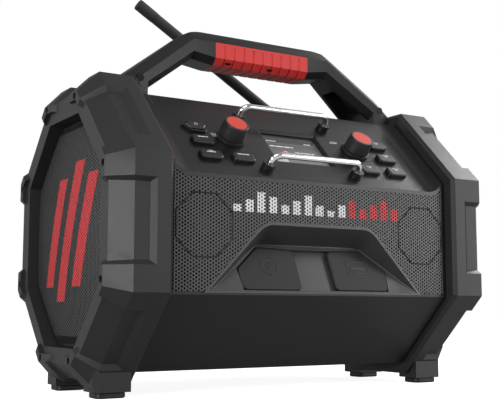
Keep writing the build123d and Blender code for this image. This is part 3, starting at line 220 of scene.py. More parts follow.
def moulded(name, colour, worn_colour, roughness, patches=0.25, scuffs=0.2, grain=900, depth=0.00012,
            metallic=0.0, shine=0.35):
    """A moulded or coated finish: the shared skin feeds colour, roughness and a grain bump."""
    made, tree, shader = plain_material(name, colour, roughness, metallic)
    shader.inputs["Specular IOR Level"].default_value = shine
    node = tree.nodes.new("ShaderNodeGroup")
    node.node_tree = skin
    node.inputs["Colour"].default_value = (*colour, 1)
    node.inputs["Worn Colour"].default_value = (*worn_colour, 1)
    node.inputs["Patches"].default_value = patches
    node.inputs["Scuffs"].default_value = scuffs
    node.inputs["Roughness"].default_value = roughness
    node.inputs["Grain Scale"].default_value = grain
    bump = tree.nodes.new("ShaderNodeBump")
    bump.inputs["Strength"].default_value = 0.5
    bump.inputs["Distance"].default_value = depth
    tree.links.new(node.outputs["Colour"], shader.inputs["Base Color"])
    tree.links.new(node.outputs["Roughness"], shader.inputs["Roughness"])
    tree.links.new(node.outputs["Grain"], bump.inputs["Height"])
    tree.links.new(bump.outputs["Normal"], shader.inputs["Normal"])
    return made


def whole(mesh):
    """All the parts of a bmesh."""
    return mesh.verts[:] + mesh.edges[:] + mesh.faces[:]


def finish_piece(name, mesh, body, materials, smooth_angle=35):
    """Turns a bmesh into a piece on a body, smooth across its gentle edges alone."""
    for face in mesh.faces:
        face.smooth = True
    for edge in mesh.edges:
        edge.smooth = len(edge.link_faces) == 2 and edge.calc_face_angle(pi) < radians(smooth_angle)
    data = bpy.data.meshes.new(name)
    mesh.to_mesh(data)
    mesh.free()
    for material in materials:
        data.materials.append(material)
    piece = link(name, data)
    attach(piece, body)
    return piece


def rounded(name, node, width, body, material, weld=0.00002, segments=3):
    """A node's shape with its sharp edges rounded over, standing in for the node."""
    mesh = bmesh.new()
    mesh.from_mesh(solids[node].data)
    bmesh.ops.remove_doubles(mesh, verts=mesh.verts, dist=weld)
    flat_angle, sharp_angle = 0.6, 28
    bmesh.ops.dissolve_limit(mesh, angle_limit=radians(flat_angle), verts=mesh.verts, edges=mesh.edges)
    piece = finish_piece(name, mesh, body, [material])
    edge_round = piece.modifiers.new("mould_radius", "BEVEL")
    edge_round.width = width
    edge_round.segments = segments
    edge_round.limit_method = "ANGLE"
    edge_round.angle_limit = radians(sharp_angle)
    edge_round.harden_normals = True
    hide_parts(node)
    return piece


def dress(names, material):
    """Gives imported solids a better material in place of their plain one."""
    for node in names:
        for slot in solids[node].material_slots:
            slot.material = material


bumper_rubber = moulded("bumper_rubber", (0.019, 0.019, 0.0195), (0.045, 0.045, 0.046), 0.4, grain=1400)
for side in ("left", "right"):
    rounded(f"{side}_bumper_moulding", f"{side}_bumper", 0.0009, "cabinet", bumper_rubber,
            weld=0.0003)
pad_rubber = moulded("pad_rubber", (0.012, 0.012, 0.012), (0.05, 0.05, 0.05), 0.4, grain=1400)
rounded("foot_pad_mouldings", "foot_pads", 0.0016, "cabinet", pad_rubber)
bolt_black = moulded("bolt_black", (0.003, 0.003, 0.003), (0.012, 0.012, 0.012), 0.4, grain=2500, shine=0.2)
dress(["bumper_screws", "handle_bolts", "housing_screws", "antenna_tilt_pin", "battery_hinge_pin"],
      bolt_black)


# ---------------------------------------------------------------- cabinet shells
# Two halves of black polymer with a satin eroded face. The joint between them runs over
# the top under the handle.
housing_black = moulded("housing_black", (0.009, 0.009, 0.010), (0.024, 0.024, 0.025), 0.36, scuffs=0.12,
                        grain=1800)
dress(["front_housing", "rear_housing", "left_baffle", "right_baffle", "battery_box", "mains_inlet",
       "antenna_base"], housing_black)


# ---------------------------------------------------------------- control panel
# A separate satin plate let into the front slope, its ends dished up to the top edge, with
# short printed legends by the knobs.
panel_black = moulded("panel_black", (0.007, 0.007, 0.008), (0.018, 0.018, 0.019), 0.25, scuffs=0.1,
                      grain=2200)
rounded("control_panel_plate", "control_panel", 0.0007, "cabinet", panel_black)

# The front grille's outer face is one sheet ahead of the housing, and the panel leans back from it.
sheet_step, panel_foot = 0.0012, 0.201925
front_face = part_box("front_housing")[0].y - sheet_step
panel_frame = Matrix.Translation((0, front_face, panel_foot)) @ Matrix.Rotation(pi / 4, 4, "X")
ink_depth = 0.00006
ink_white = moulded("ink_white", (0.8, 0.8, 0.8), (0.65, 0.65, 0.65), 0.4, scuffs=0.1)


def plates(name, marks, place, depth, body, material, edge=0.0):
    """Flat blocks on a surface, each by its middle, its size and its height over the surface."""
    mesh = bmesh.new()
    for across, up, width, height, level in marks:
        block = Matrix.Translation((across, up, level)) @ Matrix.Diagonal((width, height, depth, 1))
        bmesh.ops.create_cube(mesh, size=1, matrix=place @ block)
    if edge:
        bmesh.ops.bevel(mesh, geom=mesh.edges[:], offset=edge, offset_type="OFFSET", segments=2, profile=0.5,
                        affect="EDGES", material=-1)
    return finish_piece(name, mesh, body, [material])


def dash_row(across, up, level, widths, height, gap=0.00045):
    """A row of short dashes about a middle, as wide as the words of a legend."""
    left = across - (sum(widths) + gap * (len(widths) - 1)) / 2
    marks = []
    for width in widths:
        marks.append((left + width / 2, up, width, height, level))
        left += width + gap
    return marks


small_dash, bold_dash = 0.0007, 0.0012
legend_rows = dash_row(-0.0925, 0.0655, 0, (0.0012, 0.0026, 0.0016), small_dash)
legend_rows += dash_row(-0.0925, 0.0632, 0, (0.0022, 0.0030), bold_dash)
legend_rows += dash_row(-0.0925, 0.0612, 0, (0.0014, 0.0018), small_dash)
legend_rows += dash_row(0.0560, 0.0745, 0, (0.0030, 0.0016, 0.0032), small_dash)
legend_rows += dash_row(0.0540, 0.0722, 0, (0.0036, 0.0052), bold_dash)
plates("knob_legends", legend_rows, panel_frame, ink_depth, "cabinet", ink_white)


# ---------------------------------------------------------------- display
# A smoked lens over a grey screen, paler at its foot and darker at its top. The screen and its marks
# glow a little: painted light standing in for the light the screen reflects. They show a title row
# and clock, two rows of text shown as dashes, a red marker in a white ring and a signal meter.
lens_smoke, _, lens_shader = plain_material("lens_smoke", (0.01, 0.011, 0.012), 0.06)
lens_shader.inputs["Alpha"].default_value = 0.16
dress(["display_lens"], lens_smoke)

screen_grey, screen_tree, screen_shader = plain_material("screen_grey", (0.2, 0.21, 0.22), 0.5)
screen_height = screen_tree.nodes.new("ShaderNodeSeparateXYZ")
screen_coords = screen_tree.nodes.new("ShaderNodeTexCoord").outputs["Object"]
screen_tree.links.new(screen_coords, screen_height.inputs["Vector"])
screen_fade = screen_tree.nodes.new("ShaderNodeMapRange")
screen_low, screen_high, low_grey, high_grey = 0.226, 0.257, 0.26, 0.05
for label, value in (("From Min", screen_low), ("From Max", screen_high), ("To Min", low_grey),
                     ("To Max", high_grey)):
    screen_fade.inputs[label].default_value = value
screen_tree.links.new(screen_height.outputs["Z"], screen_fade.inputs["Value"])
screen_tint = screen_tree.nodes.new("ShaderNodeCombineColor")
for channel in screen_tint.inputs:
    screen_tree.links.new(screen_fade.outputs["Result"], channel)
screen_tree.links.new(screen_tint.outputs["Color"], screen_shader.inputs["Base Color"])
# The screen's glow is painted light, standing in for the light it reflects.
screen_tree.links.new(screen_tint.outputs["Color"], screen_shader.inputs["Emission Color"])
screen_shader.inputs["Emission Strength"].default_value = 0.3
dress(["display_module"], screen_grey)


def painted_glow(name, colour, strength):
    """A shape on the screen that glows: painted light standing in for the light the screen reflects."""
    made, _, shader = plain_material(name, colour, 0.5)
    shader.inputs["Emission Color"].default_value = (*colour, 1)
    shader.inputs["Emission Strength"].default_value = strength
    return made


screen_level = -0.00435
screen_rows = dash_row(-0.0225, 0.0705, screen_level, (0.0042, 0.0030, 0.0036), 0.0014)
screen_rows += dash_row(0.0215, 0.0700, screen_level, (0.0030, 0.0008, 0.0034), 0.0014)
screen_rows += dash_row(-0.0135, 0.0618, screen_level, (0.0062, 0.0090, 0.0068, 0.0024), 0.0017, 0.0012)
screen_rows += dash_row(0.0110, 0.0535, screen_level, (0.0060, 0.0032, 0.0078, 0.0040), 0.0011, 0.0009)
screen_rows += dash_row(0.0120, 0.0498, screen_level, (0.0040, 0.0070, 0.0052), 0.0011, 0.0009)
meter_left, meter_foot, meter_pitch, meter_bar, meter_low, meter_growth = (
    -0.028, 0.0360, 0.0022, 0.0013, 0.0016, 0.0008)
for step in range(6):
    bar_height = meter_low + meter_growth * step
    screen_rows.append((meter_left + meter_pitch * step, meter_foot + bar_height / 2, meter_bar, bar_height,
                        screen_level))
plates("screen_text", screen_rows, panel_frame, ink_depth, "cabinet",
       painted_glow("screen_white", (0.85, 0.85, 0.85), 0.35))
screen_width, line_width = 0.060, 0.0003
screen_lines = [(0.0, up, screen_width, line_width, screen_level) for up in (0.0755, 0.0668, 0.0430)]
plates("screen_lines", screen_lines, panel_frame, ink_depth, "cabinet",
       painted_glow("screen_pale", (0.4, 0.41, 0.42), 0.2))


def wire_ring(name, radius, wire, place, body, material, steps=48):
    """A closed ring of round wire lying in the XY plane of its place."""
    ring = bmesh.new()
    bmesh.ops.create_circle(ring, segments=8, radius=wire, matrix=Matrix.Translation((radius, 0, 0))
                            @ Matrix.Rotation(pi / 2, 4, "X"))
    bmesh.ops.spin(ring, geom=ring.verts[:] + ring.edges[:], angle=2 * pi, steps=steps, axis=(0, 0, 1),
                   cent=(0, 0, 0), use_merge=True)
    bmesh.ops.recalc_face_normals(ring, faces=ring.faces)
    bmesh.ops.transform(ring, matrix=place, verts=ring.verts)
    return finish_piece(name, ring, body, [material], smooth_angle=60)


marker_place = panel_frame @ Matrix.Translation((-0.0125, 0.0515, screen_level))
ring_radius, ring_wire, marker_radius = 0.0026, 0.0003, 0.0019
wire_ring("screen_ring", ring_radius, ring_wire, marker_place, "cabinet",
          painted_glow("screen_ring_white", (0.85, 0.85, 0.85), 0.3))
marker = bmesh.new()
bmesh.ops.create_cone(marker, cap_ends=True, segments=24, radius1=marker_radius, radius2=marker_radius,
                      depth=ink_depth, matrix=marker_place)
screen_red = painted_glow("screen_red", (0.75, 0.03, 0.05), 0.5)
finish_piece("screen_marker", marker, "cabinet", [screen_red])
board_green = moulded("board_green", (0.02, 0.09, 0.045), (0.05, 0.15, 0.08), 0.4)
dress(["control_board", "main_board"], board_green)
dress(["power_supply", "key_switches"], bolt_black)


# ---------------------------------------------------------------- knobs
# Smooth black knobs on encoders, each over its own collar. A red disc is pressed into the
# top of each one.
knob_black = moulded("knob_black", (0.016, 0.016, 0.017), (0.04, 0.04, 0.04), 0.34, grain=2500, shine=0.5)
knob_edge = 0.0003
disc_red = moulded("disc_red", (0.64, 0.06, 0.04), (0.68, 0.10, 0.07), 0.4, scuffs=0.15, grain=2500)
for side in ("left", "right"):
    rounded(f"{side}_knob_body", f"{side}_knob", knob_edge, f"{side}_knob_body", knob_black,
            segments=2)
    rounded(f"{side}_knob_disc", f"{side}_knob_cap", knob_edge, f"{side}_knob_body", disc_red,
            segments=2)


# ---------------------------------------------------------------- keys
# Rubber keys in three rows at each end of the panel. Seven carry a printed legend, one a
# ring for the power.
key_rubber = moulded("key_rubber", (0.006, 0.006, 0.007), (0.03, 0.03, 0.031), 0.36, grain=2500, shine=0.5)
key_across, inner_across, key_rows, key_top = 0.1105, 0.0756, (0.0725, 0.0495, 0.0265), 0.0042
# Each legend's lines, by their rise over the key's middle, their dashes and the dashes' height.
key_legends = {
    "source_key": (-key_across, key_rows[1], [(0.0023, (0.0030, 0.0046, 0.0024), bold_dash)]),
    "preset_key": (-key_across, key_rows[2], [(0.0034, (0.0016, 0.0030), small_dash),
                                              (0.0016, (0.0014, 0.0046, 0.0026), bold_dash)]),
    "clock_key": (-inner_across, key_rows[2], [(0.0024, (0.0046, 0.0030, 0.0042), bold_dash)]),
    "menu_key": (key_across, key_rows[0], [(0.0032, (0.0036, 0.0024), small_dash),
                                           (0.0014, (0.0030,), bold_dash)]),
    "info_key": (key_across, key_rows[1], [(0.0034, (0.0044, 0.0032), small_dash),
                                           (0.0016, (0.0034,), bold_dash)]),
    "back_key": (key_across, key_rows[2], [(0.0034, (0.0050, 0.0022), small_dash),
                                           (0.0016, (0.0036,), bold_dash)]),
    "memory_key": (inner_across, key_rows[2], [(0.0034, (0.0036, 0.0026), small_dash),
                                               (0.0014, (0.0026,), bold_dash)]),
}
for key, (across, up, rows) in key_legends.items():
    marks = []
    for rise, widths, height in rows:
        marks += dash_row(across, up + rise, key_top, widths, height)
    plates(f"{key}_legend", marks, panel_frame, ink_depth, f"{key}_body", ink_white)
power_place = panel_frame @ Matrix.Translation((-key_across, key_rows[0], key_top))
wire_ring("power_icon", 0.0017, 0.0002, power_place, "power_key_body", ink_white)
dress([*key_legends, "power_key"], key_rubber)


# ---------------------------------------------------------------- guard bars
# Bent steel rod, polished and chromed, standing in ribbed rubber bushings. The polish is
# faintly uneven.
guard_chrome, chrome_tree, chrome_shader = plain_material("guard_chrome", (0.9, 0.9, 0.92), 0.1, 1.0)
chrome_coords = chrome_tree.nodes.new("ShaderNodeTexCoord").outputs["Object"]
wear_scale = 220
chrome_wear = add_noise(chrome_tree, chrome_coords, wear_scale, detail=5)
chrome_rough = chrome_tree.nodes.new("ShaderNodeMapRange")
for label, value in (("From Min", 0.45), ("From Max", 0.75), ("To Min", 0.13), ("To Max", 0.26)):
    chrome_rough.inputs[label].default_value = value
chrome_tree.links.new(chrome_wear.outputs["Fac"], chrome_rough.inputs["Value"])
chrome_tree.links.new(chrome_rough.outputs["Result"], chrome_shader.inputs["Roughness"])
dress(["front_guard_bar", "rear_guard_bar"], guard_chrome)
dress(["guard_bushings"], key_rubber)


# ---------------------------------------------------------------- port pocket
# A wedge-shaped tray under the grille with two rubber flaps over the sockets, each with
# an embossed sign: a ring for the round jack and a slot for the flat one. A thin lip runs
# along the tray's raked back where it meets the roof and the sides, paler than the tray as
# a painted highlight along its edge.
tray_grey = moulded("tray_grey", (0.045, 0.045, 0.047), (0.09, 0.09, 0.095), 0.3, grain=1800)
rounded("port_tray_moulding", "port_tray", 0.0009, "cabinet", tray_grey)
flap_rubber = moulded("flap_rubber", (0.014, 0.014, 0.015), (0.035, 0.035, 0.036), 0.42, grain=2000)
for flap in ("aux_flap", "usb_flap"):
    rounded(f"{flap}_moulding", flap, 0.0006, f"{flap}_body", flap_rubber)
rake_foot, rake_angle = 0.0958, 65.17
rake_frame = Matrix.Translation((0, front_face, rake_foot)) @ Matrix.Rotation(radians(rake_angle), 4, "X")
sign_across, sign_up, flap_face = 0.052, 0.027, 0.0010
emboss_grey = moulded("emboss_grey", (0.03, 0.03, 0.031), (0.06, 0.06, 0.06), 0.36, grain=2000)
aux_place = rake_frame @ Matrix.Translation((-sign_across, sign_up, flap_face))
sign_wire = 0.0006
wire_ring("aux_sign", 0.0090, sign_wire, aux_place, "aux_flap_body", emboss_grey)
wire_ring("aux_sign_core", 0.0034, sign_wire, aux_place, "aux_flap_body", emboss_grey,
          steps=32)
slot_half_width, slot_half_height, slot_line = 0.0129, 0.0065, 0.0013
usb_marks = [(sign_across, sign_up + rise, 0.027, slot_line, flap_face)
             for rise in (-slot_half_height, slot_half_height)]
usb_marks += [(sign_across + shift, sign_up, slot_line, 0.0143, flap_face)
              for shift in (-slot_half_width, slot_half_width)]
usb_marks += [(sign_across, sign_up - 0.0012, 0.0190, 0.0034, flap_face)]
plates("usb_sign", usb_marks, rake_frame, 0.0008, "usb_flap_body", emboss_grey, edge=0.0002)
# The lip's paler grey is a painted highlight along the edge.
lip_highlight_grey = moulded("lip_highlight_grey", (0.09, 0.09, 0.092), (0.13, 0.13, 0.135), 0.25, grain=2000, shine=0.5)
lip_width, lip_height, lip_edge = 0.0011, 0.0012, 0.0004
roof_lip_up, roof_lip_length = 0.0494, 0.110
side_lip_across, side_lip_up, side_lip_length, side_lip_turn = 0.0894, 0.0254, 0.0730, -39.6
plates("pocket_lip", [(0, roof_lip_up, roof_lip_length, lip_width, 0)], rake_frame, lip_height, "cabinet",
       lip_highlight_grey, edge=lip_edge)
for side, name in ((-1, "left"), (1, "right")):
    lip_place = (rake_frame @ Matrix.Translation((side * side_lip_across, side_lip_up, 0))
                 @ Matrix.Rotation(side * radians(side_lip_turn), 4, "Z"))
    plates(f"pocket_{name}_lip", [(0, 0, side_lip_length, lip_width, 0)], lip_place, lip_height, "cabinet",
           lip_highlight_grey, edge=lip_edge)
socket_nickel = moulded("socket_nickel", (0.5, 0.5, 0.52), (0.35, 0.35, 0.36), 0.3, metallic=1.0)
dress(["aux_jack", "usb_socket", "encoders"], socket_nickel)


# ---------------------------------------------------------------- front grille
# One steel sheet punched with staggered holes and powder-coated, with a row of printed
# bars over the pocket and black cloth behind it. Eight-sided ribs mark the small drivers.
def face_up(sheet):
    """Turns every face of a flat sheet to +Z."""
    sheet.normal_update()
    bmesh.ops.reverse_faces(sheet, faces=[face for face in sheet.faces if face.normal.z < 0])


def punched_sheet(height, width, pitch, hole):
    """Six-sided cells with one hole each, in staggered columns about the origin of the XY plane."""
    sheet = bmesh.new()
    cell = pitch / sqrt(3)
    for radius in (cell, hole):
        bmesh.ops.create_circle(sheet, segments=6, radius=radius)
    bmesh.ops.bridge_loops(sheet, edges=sheet.edges)
    rows, columns = int(height / pitch) + 2, int(width / (3 * cell)) + 2
    bmesh.ops.spin(sheet, geom=whole(sheet), angle=0, axis=(0, 0, 1), steps=rows, dvec=(pitch, 0, 0),
                   use_duplicate=True)
    second = bmesh.ops.duplicate(sheet, geom=whole(sheet))
    bmesh.ops.translate(sheet, vec=(pitch / 2, 1.5 * cell, 0),
                        verts=[part for part in second["geom"] if isinstance(part, bmesh.types.BMVert)])
    bmesh.ops.spin(sheet, geom=whole(sheet), angle=0, axis=(0, 0, 1), steps=columns, dvec=(0, 3 * cell, 0),
                   use_duplicate=True)
    bmesh.ops.translate(sheet, vec=(-rows * pitch / 2, -columns * 1.5 * cell, 0), verts=sheet.verts)
    bmesh.ops.remove_doubles(sheet, verts=sheet.verts, dist=pitch / 100)
    bmesh.ops.rotate(sheet, verts=sheet.verts, cent=(0, 0, 0), matrix=Matrix.Rotation(pi / 2, 3, "Z"))
    face_up(sheet)
    return sheet


def plain_sheet(width, height):
    """An unbroken sheet about the origin of the XY plane."""
    sheet = bmesh.new()
    bmesh.ops.create_grid(sheet, x_segments=1, y_segments=1, size=0.5,
                          matrix=Matrix.Diagonal((width, height, 1, 1)))
    face_up(sheet)
    return sheet


def score(sheet, points):
    """Cuts every face along the lines through neighbouring points of the XY plane."""
    for start, end in zip(points, points[1:]):
        along = Vector((end[0] - start[0], end[1] - start[1], 0))
        bmesh.ops.bisect_plane(sheet, geom=whole(sheet), dist=1e-7, plane_co=(*start, 0),
                               plane_no=along.cross(Vector((0, 0, 1))))


def keep_faces(sheet, wanted):
    """Drops the faces whose middle is not wanted."""
    lost = [face for face in sheet.faces if not wanted(*face.calc_center_median()[:2])]
    bmesh.ops.delete(sheet, geom=lost, context="FACES")


hole_pitch, hole_radius, sheet_thickness = 0.0033, 0.00112, 0.0009
grille_low, grille_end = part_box("front_grille")[0].z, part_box("front_grille")[1].x
# Upper edge under the panel's foot, which turns up at the dished ends.
grille_top = [(0.0, 0.1976), (0.140, 0.1976), (0.146, 0.1985), (0.152, 0.2014), (0.157, 0.2058)]
# Half widths of the opening over the pocket, rounded at its upper corners.
pocket_edge = [(0.1259, rake_foot), (0.0701, 0.1531), (0.0672, 0.1557), (0.0638, 0.1580), (0.0602, 0.1597),
               (0.0563, 0.1607), (0.0523, 0.1611)]
pocket_top = pocket_edge[-1][1]


def top_at(across):
    """Height of the sheet's upper edge at a distance from the middle."""
    for (start, low), (end, high) in zip(grille_top, grille_top[1:]):
        if across <= end:
            return low + (high - low) * (across - start) / (end - start)
    return grille_top[-1][1]


def pocket_side(height):
    """Half width of the opening over the pocket at a height."""
    for (wide, low), (narrow, high) in zip(pocket_edge, pocket_edge[1:]):
        if height <= high:
            return wide + (narrow - wide) * (height - low) / (high - low)
    return 0.0


def trim_front(sheet):
    """Moves a sheet up to the front wall and trims it to the panel's foot and the pocket."""
    middle = (grille_low + grille_top[-1][1]) / 2
    bmesh.ops.translate(sheet, vec=(0, middle, 0), verts=sheet.verts)
    score(sheet, [(-1, grille_low), (1, grille_low)])
    score(sheet, [(-1, pocket_top), (1, pocket_top)])
    for side in (-1, 1):
        score(sheet, [(side * grille_end, 0), (side * grille_end, 1)])
        score(sheet, [(side * across, height) for across, height in grille_top[1:]])
        score(sheet, [(side * across, height) for across, height in pocket_edge])
    score(sheet, [(-1, grille_top[0][1]), (1, grille_top[0][1])])
    keep_faces(sheet, lambda across, height: (
        abs(across) < grille_end and grille_low < height < top_at(abs(across))
        and not (height < pocket_top and abs(across) < pocket_side(height))))


def stand_up(sheet, face):
    """Turns a sheet upright, at a distance to the front."""
    bmesh.ops.rotate(sheet, verts=sheet.verts, cent=(0, 0, 0), matrix=Matrix.Rotation(pi / 2, 3, "X"))
    bmesh.ops.translate(sheet, vec=(0, face, 0), verts=sheet.verts)


def thicken(piece, thickness):
    """Gives a sheet its thickness, behind its face."""
    wall = piece.modifiers.new("sheet", "SOLIDIFY")
    wall.thickness = thickness
    wall.offset = -1


front_sheet = punched_sheet(grille_top[-1][1] - grille_low, 2 * grille_end, hole_pitch, hole_radius)
trim_front(front_sheet)

# Printed level bars: white ones, then red ones, each on whole cells.
print_low, print_high = 0.1690, 0.1880
bar_pitch, bar_width = 0.0132, 0.0086
bar_levels = [0.35, 0.6, 1.0, 0.8, 0.45, 0.7, 1.0, 0.55, 0.3, 0.65, 0.9, 0.5, 0.75, 1.0, 0.6]
print_start, red_from = -0.097, 10
for face in front_sheet.faces:
    across, height = face.calc_center_median()[:2]
    index, offset = divmod(across - print_start, bar_pitch)
    if 0 <= index < len(bar_levels) and offset < bar_width:
        bar_top = print_low + (print_high - print_low) * bar_levels[int(index)]
        if print_low < height < bar_top:
            face.material_index = 2 if index >= red_from else 1
stand_up(front_sheet, front_face)
grille_paint = moulded("grille_paint", (0.055, 0.055, 0.056), (0.10, 0.10, 0.102), 0.3, scuffs=0.1,
                       grain=3000)
print_white = moulded("print_white", (0.85, 0.85, 0.85), (0.7, 0.7, 0.7), 0.45)
print_red = moulded("print_red", (0.64, 0.04, 0.048), (0.66, 0.08, 0.08), 0.42, scuffs=0.1)
front_piece = finish_piece("front_grille_sheet", front_sheet, "cabinet",
                           [grille_paint, print_white, print_red])
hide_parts("front_grille")
thicken(front_piece, sheet_thickness)

cloth_ink_and_slot_shade = moulded("cloth_ink_and_slot_shade", (0.006, 0.006, 0.006), (0.009, 0.009, 0.009), 0.9, grain=4000,
                      shine=0.05)
cloth_gap, cloth_thickness = 0.00098, 0.0001
front_cloth = plain_sheet(1.0, 1.0)
trim_front(front_cloth)
stand_up(front_cloth, front_face + cloth_gap)
cloth_piece = finish_piece("front_cloth", front_cloth, "cabinet", [cloth_ink_and_slot_shade])
thicken(cloth_piece, cloth_thickness)

# Eight-sided ribs round the small drivers, near-black as painted shade for the groove along them.
# On the cloth inside each, a black disc is painted shade for the driver's hollow, and a paler disc
# in its middle is a painted highlight on the cone's cap.
driver_across, axis_height, rib_half, rib_wire = 0.1263, 0.1552, 0.0287, 0.0008
hollow_radius, hollow_level, cap_radius, cap_level, disc_depth = 0.0205, 0.00012, 0.0088, 0.0002, 0.0001
# The ribs' near-black is painted shade for the groove along them.
rib_groove_shade = moulded("rib_groove_shade", (0.006, 0.006, 0.006), (0.02, 0.02, 0.02), 0.3, grain=3000)
# A flat black disc with no shine: painted shade for the driver's hollow.
hollow_painted_shade, _, hollow_shader = plain_material("hollow_painted_shade", (0.0, 0.0, 0.0), 1.0)
hollow_shader.inputs["Specular IOR Level"].default_value = 0.0
# A paler disc: a painted highlight on the cone's cap.
cap_painted_highlight = moulded("cap_painted_highlight", (0.03, 0.03, 0.03), (0.04, 0.04, 0.04), 0.8, grain=4000, shine=0.1)
for side, name in ((-1, "left"), (1, "right")):
    middle = (Matrix.Translation((side * driver_across, front_face, axis_height))
              @ Matrix.Rotation(pi / 2, 4, "X"))
    rib_place = middle @ Matrix.Rotation(pi / 8, 4, "Z")
    wire_ring(f"{name}_driver_rib", rib_half / cos(pi / 8), rib_wire, rib_place, "cabinet",
              rib_groove_shade, steps=8)
    for part, radius, level, disc_finish in (("hollow", hollow_radius, hollow_level, hollow_painted_shade),
                                       ("cap", cap_radius, cap_level, cap_painted_highlight)):
        disc = bmesh.new()
        bmesh.ops.create_cone(disc, cap_ends=True, segments=32, radius1=radius, radius2=radius,
                              depth=disc_depth, matrix=middle @ Matrix.Translation((0, 0, level - cloth_gap)))
        finish_piece(f"{name}_driver_{part}", disc, "cabinet", [disc_finish])


# ---------------------------------------------------------------- side grilles
# Sheets pressed into shallow, slightly crowned pans over the woofers, with slanted red
# stripes printed on and black cloth inside. Their outline is the bumper's eight-sided
# opening, given by its half depth, its slopes' reach and its half height.
opening_middle = 0.1528
half_depth, slope_reach, half_height = 0.096, 0.1475 * sqrt(0.5), 0.109
seat_inset, border_width, ramp_width, pan_rise = 0.0006, 0.002, 0.008, 0.006
opening_faces = []
for step in range(8):
    turn = step * pi / 4
    limit = (half_depth, slope_reach, half_height, slope_reach)[step % 4]
    opening_faces.append((cos(turn), sin(turn), limit - seat_inset))


def depth_inside(across, height):
    """Distance in from the opening's edge."""
    return min(limit - along * across - up * height for along, up, limit in opening_faces)


def trim_octagon(sheet, insets):
    """Cuts a sheet along the opening's outline at each inset and drops what lies outside the first."""
    for inset in insets:
        for along, up, limit in opening_faces:
            bmesh.ops.bisect_plane(sheet, geom=whole(sheet), dist=1e-7, plane_no=(along, up, 0),
                                   plane_co=((limit - inset) * along, (limit - inset) * up, 0))
    keep_faces(sheet, lambda across, height: depth_inside(across, height) > insets[0])


def face_end(sheet, side, seat):
    """Turns a sheet to face the side, at a distance from the middle."""
    bmesh.ops.rotate(sheet, verts=sheet.verts, cent=(0, 0, 0),
                     matrix=Matrix.Rotation(side * pi / 2, 3, "Z") @ Matrix.Rotation(pi / 2, 3, "X"))
    bmesh.ops.translate(sheet, vec=(side * seat, 0, opening_middle), verts=sheet.verts)


# Three leaning stripes, given by their middles at the grille's centre and their half heights.
stripe_lean, stripe_width = 0.34, 0.021
stripes = [(0.044, 0.052), (0.008, 0.066), (-0.028, 0.052)]
pan_seat, crown_rise, crown_reach = 0.2002, 0.0045, 0.108


def in_stripe(across, height):
    """Says if a point of the grille lies in a stripe."""
    return any(abs(across - middle - stripe_lean * height) < stripe_width / 2 and abs(height) < reach
               for middle, reach in stripes)


pan_paint = moulded("pan_paint", (0.030, 0.030, 0.031), (0.07, 0.07, 0.07), 0.26, scuffs=0.1, grain=3000,
                    shine=0.25)
for side, name in ((-1, "left"), (1, "right")):
    pan = punched_sheet(2 * half_height, 2 * half_depth, hole_pitch, hole_radius)
    trim_octagon(pan, (0, border_width, border_width + ramp_width))
    for middle, reach in stripes:
        for height in (-reach, reach):
            score(pan, [(-1, height), (1, height)])
        for edge in (-0.5, 0.5):
            foot = middle + edge * stripe_width
            score(pan, [(foot, 0), (foot + stripe_lean, 1)])
    for face in pan.faces:
        if in_stripe(*face.calc_center_median()[:2]):
            face.material_index = 1
    for vertex in pan.verts:
        inside = depth_inside(vertex.co.x, vertex.co.y)
        ramp = min(1, max(0, (inside - border_width) / ramp_width))
        crown = max(0, 1 - (vertex.co.x ** 2 + vertex.co.y ** 2) / crown_reach ** 2)
        vertex.co.z = pan_rise * ramp + crown_rise * crown * ramp
    face_end(pan, side, pan_seat)
    pan_piece = finish_piece(f"{name}_side_grille_pan", pan, "cabinet",
                             [pan_paint, print_red])
    thicken(pan_piece, sheet_thickness)
    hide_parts(f"{name}_side_grille")
    side_cloth = plain_sheet(1.0, 1.0)
    trim_octagon(side_cloth, (border_width + ramp_width,))
    face_end(side_cloth, side, pan_seat + pan_rise - 2 * sheet_thickness)
    cloth_piece = finish_piece(f"{name}_side_cloth", side_cloth, "cabinet", [cloth_ink_and_slot_shade])
    thicken(cloth_piece, cloth_thickness)


# ---------------------------------------------------------------- speakers
# Paper cones with rubber surrounds in black steel baskets, behind the cloth: a woofer in
# each end and two small drivers at the front.
cone_grey = moulded("cone_grey", (0.045, 0.045, 0.047), (0.09, 0.09, 0.09), 0.35, grain=1200)
dress(["left_woofer_cone", "right_woofer_cone", "driver_cones"], cone_grey)
dress(["left_woofer_basket", "right_woofer_basket", "driver_baskets", "woofer_magnets", "driver_magnets"],
      bolt_black)


# ---------------------------------------------------------------- handle
# A black frame bolted to the body, its legs forked front and rear, and a soft red sleeve
# between its shoulders, held by two screws in its lower front bevel.
handle_black = moulded("handle_black", (0.011, 0.011, 0.012), (0.028, 0.028, 0.029), 0.36, grain=1600)
rounded("handle_frame", "handle", 0.0016, "cabinet", handle_black)
grip_red = moulded("grip_red", (0.66, 0.036, 0.034), (0.70, 0.07, 0.065), 0.42, scuffs=0.15, grain=1500)
rounded("handle_grip_sleeve", "handle_grip", 0.0005, "cabinet", grip_red)
bevel_depth, bevel_height, bevel_turn = -0.0166, 0.3372, 135
screw_width, screw_height, screw_rise = 0.0066, 0.0024, 0.0006
for name, across in (("left", -0.042), ("right", 0.010)):
    bevel_place = (Matrix.Translation((across, bevel_depth, bevel_height))
                   @ Matrix.Rotation(radians(bevel_turn), 4, "X"))
    plates(f"grip_{name}_screw", [(0, 0, screw_width, screw_height, 0)], bevel_place, screw_rise, "cabinet",
           bolt_black, edge=0.0002)


# ---------------------------------------------------------------- antenna
# A rubber-sleeved whip on a folding knuckle behind the handle. It turns on its base and
# tilts about a pin.
antenna_black = moulded("antenna_black", (0.02, 0.02, 0.021), (0.05, 0.05, 0.05), 0.5)
dress(["antenna_knuckle", "antenna_mast", "antenna_tip"], antenna_black)
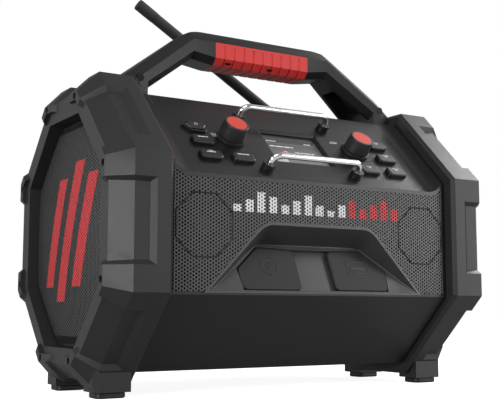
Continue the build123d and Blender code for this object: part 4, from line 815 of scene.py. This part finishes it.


# ---------------------------------------------------------------- rear
# A ribbed battery door on a pin hinge with a finger latch, a mains inlet with two pins,
# slots that let warm air out, drawn as thin black plates whose black is painted shade,
# and a plain rating label.
rounded("battery_door_panel", "battery_door", 0.0006, "battery_door_body", housing_black)
rear_wall = 0.1216
rear_frame = (Matrix.Translation((0, rear_wall, 0)) @ Matrix.Rotation(pi, 4, "Z")
              @ Matrix.Rotation(pi / 2, 4, "X"))
door_face, rib_depth, lowest_rib, rib_pitch = 0.0033, 0.0010, 0.1142, 0.0087
door_ribs = [(0, lowest_rib + rib_pitch * step, 0.098, 0.0022, door_face) for step in range(6)]
plates("battery_door_ribs", door_ribs, rear_frame, rib_depth, "battery_door_body",
       housing_black, edge=0.0003)
latch = [(0, 0.1708, 0.026, 0.0070, door_face), (0, 0.1718, 0.018, 0.0016, door_face + rib_depth)]
plates("battery_door_latch", latch, rear_frame, 0.0016, "battery_door_body", key_rubber,
       edge=0.0004)
vent_pitch, vent_height = 0.0065, 0.195
vent_slots = [(vent_pitch * step, vent_height, 0.0024, 0.012, 0) for step in range(-9, 10)]
# The slots are black plates: their black is painted shade in the openings.
plates("vent_slots", vent_slots, rear_frame, 0.0004, "cabinet", cloth_ink_and_slot_shade, edge=0.0001)
label_grey = moulded("label_grey", (0.3, 0.3, 0.31), (0.22, 0.22, 0.22), 0.4)
label_across, label_height, label_thickness = 0.108, 0.128, 0.0003
plates("rating_label", [(label_across, label_height, 0.044, 0.030, 0)], rear_frame, label_thickness,
       "cabinet", label_grey)
label_rows, row_pitch = [], 0.0055
for row, widths in enumerate([(0.010, 0.006, 0.012), (0.014, 0.009), (0.007, 0.011, 0.008), (0.012, 0.005)]):
    row_height = label_height + 0.010 - row_pitch * row
    label_rows += dash_row(label_across - 0.002, row_height, 0.0002, widths, 0.0011, gap=0.0014)
plates("rating_label_print", label_rows, rear_frame, ink_depth * 2, "cabinet", cloth_ink_and_slot_shade)
inlet_across, inlet_height, pin_middle = 0.112, 0.1212, 0.1085
pin_radius, pin_length, pin_shift = 0.0012, 0.016, 0.0043
inlet_pins = bmesh.new()
for shift in (-pin_shift, pin_shift):
    pin_place = (Matrix.Translation((inlet_across + shift, pin_middle, inlet_height))
                 @ Matrix.Rotation(pi / 2, 4, "X"))
    bmesh.ops.create_cone(inlet_pins, cap_ends=True, segments=16, radius1=pin_radius, radius2=pin_radius,
                          depth=pin_length, matrix=pin_place)
finish_piece("inlet_pins", inlet_pins, "cabinet", [socket_nickel])
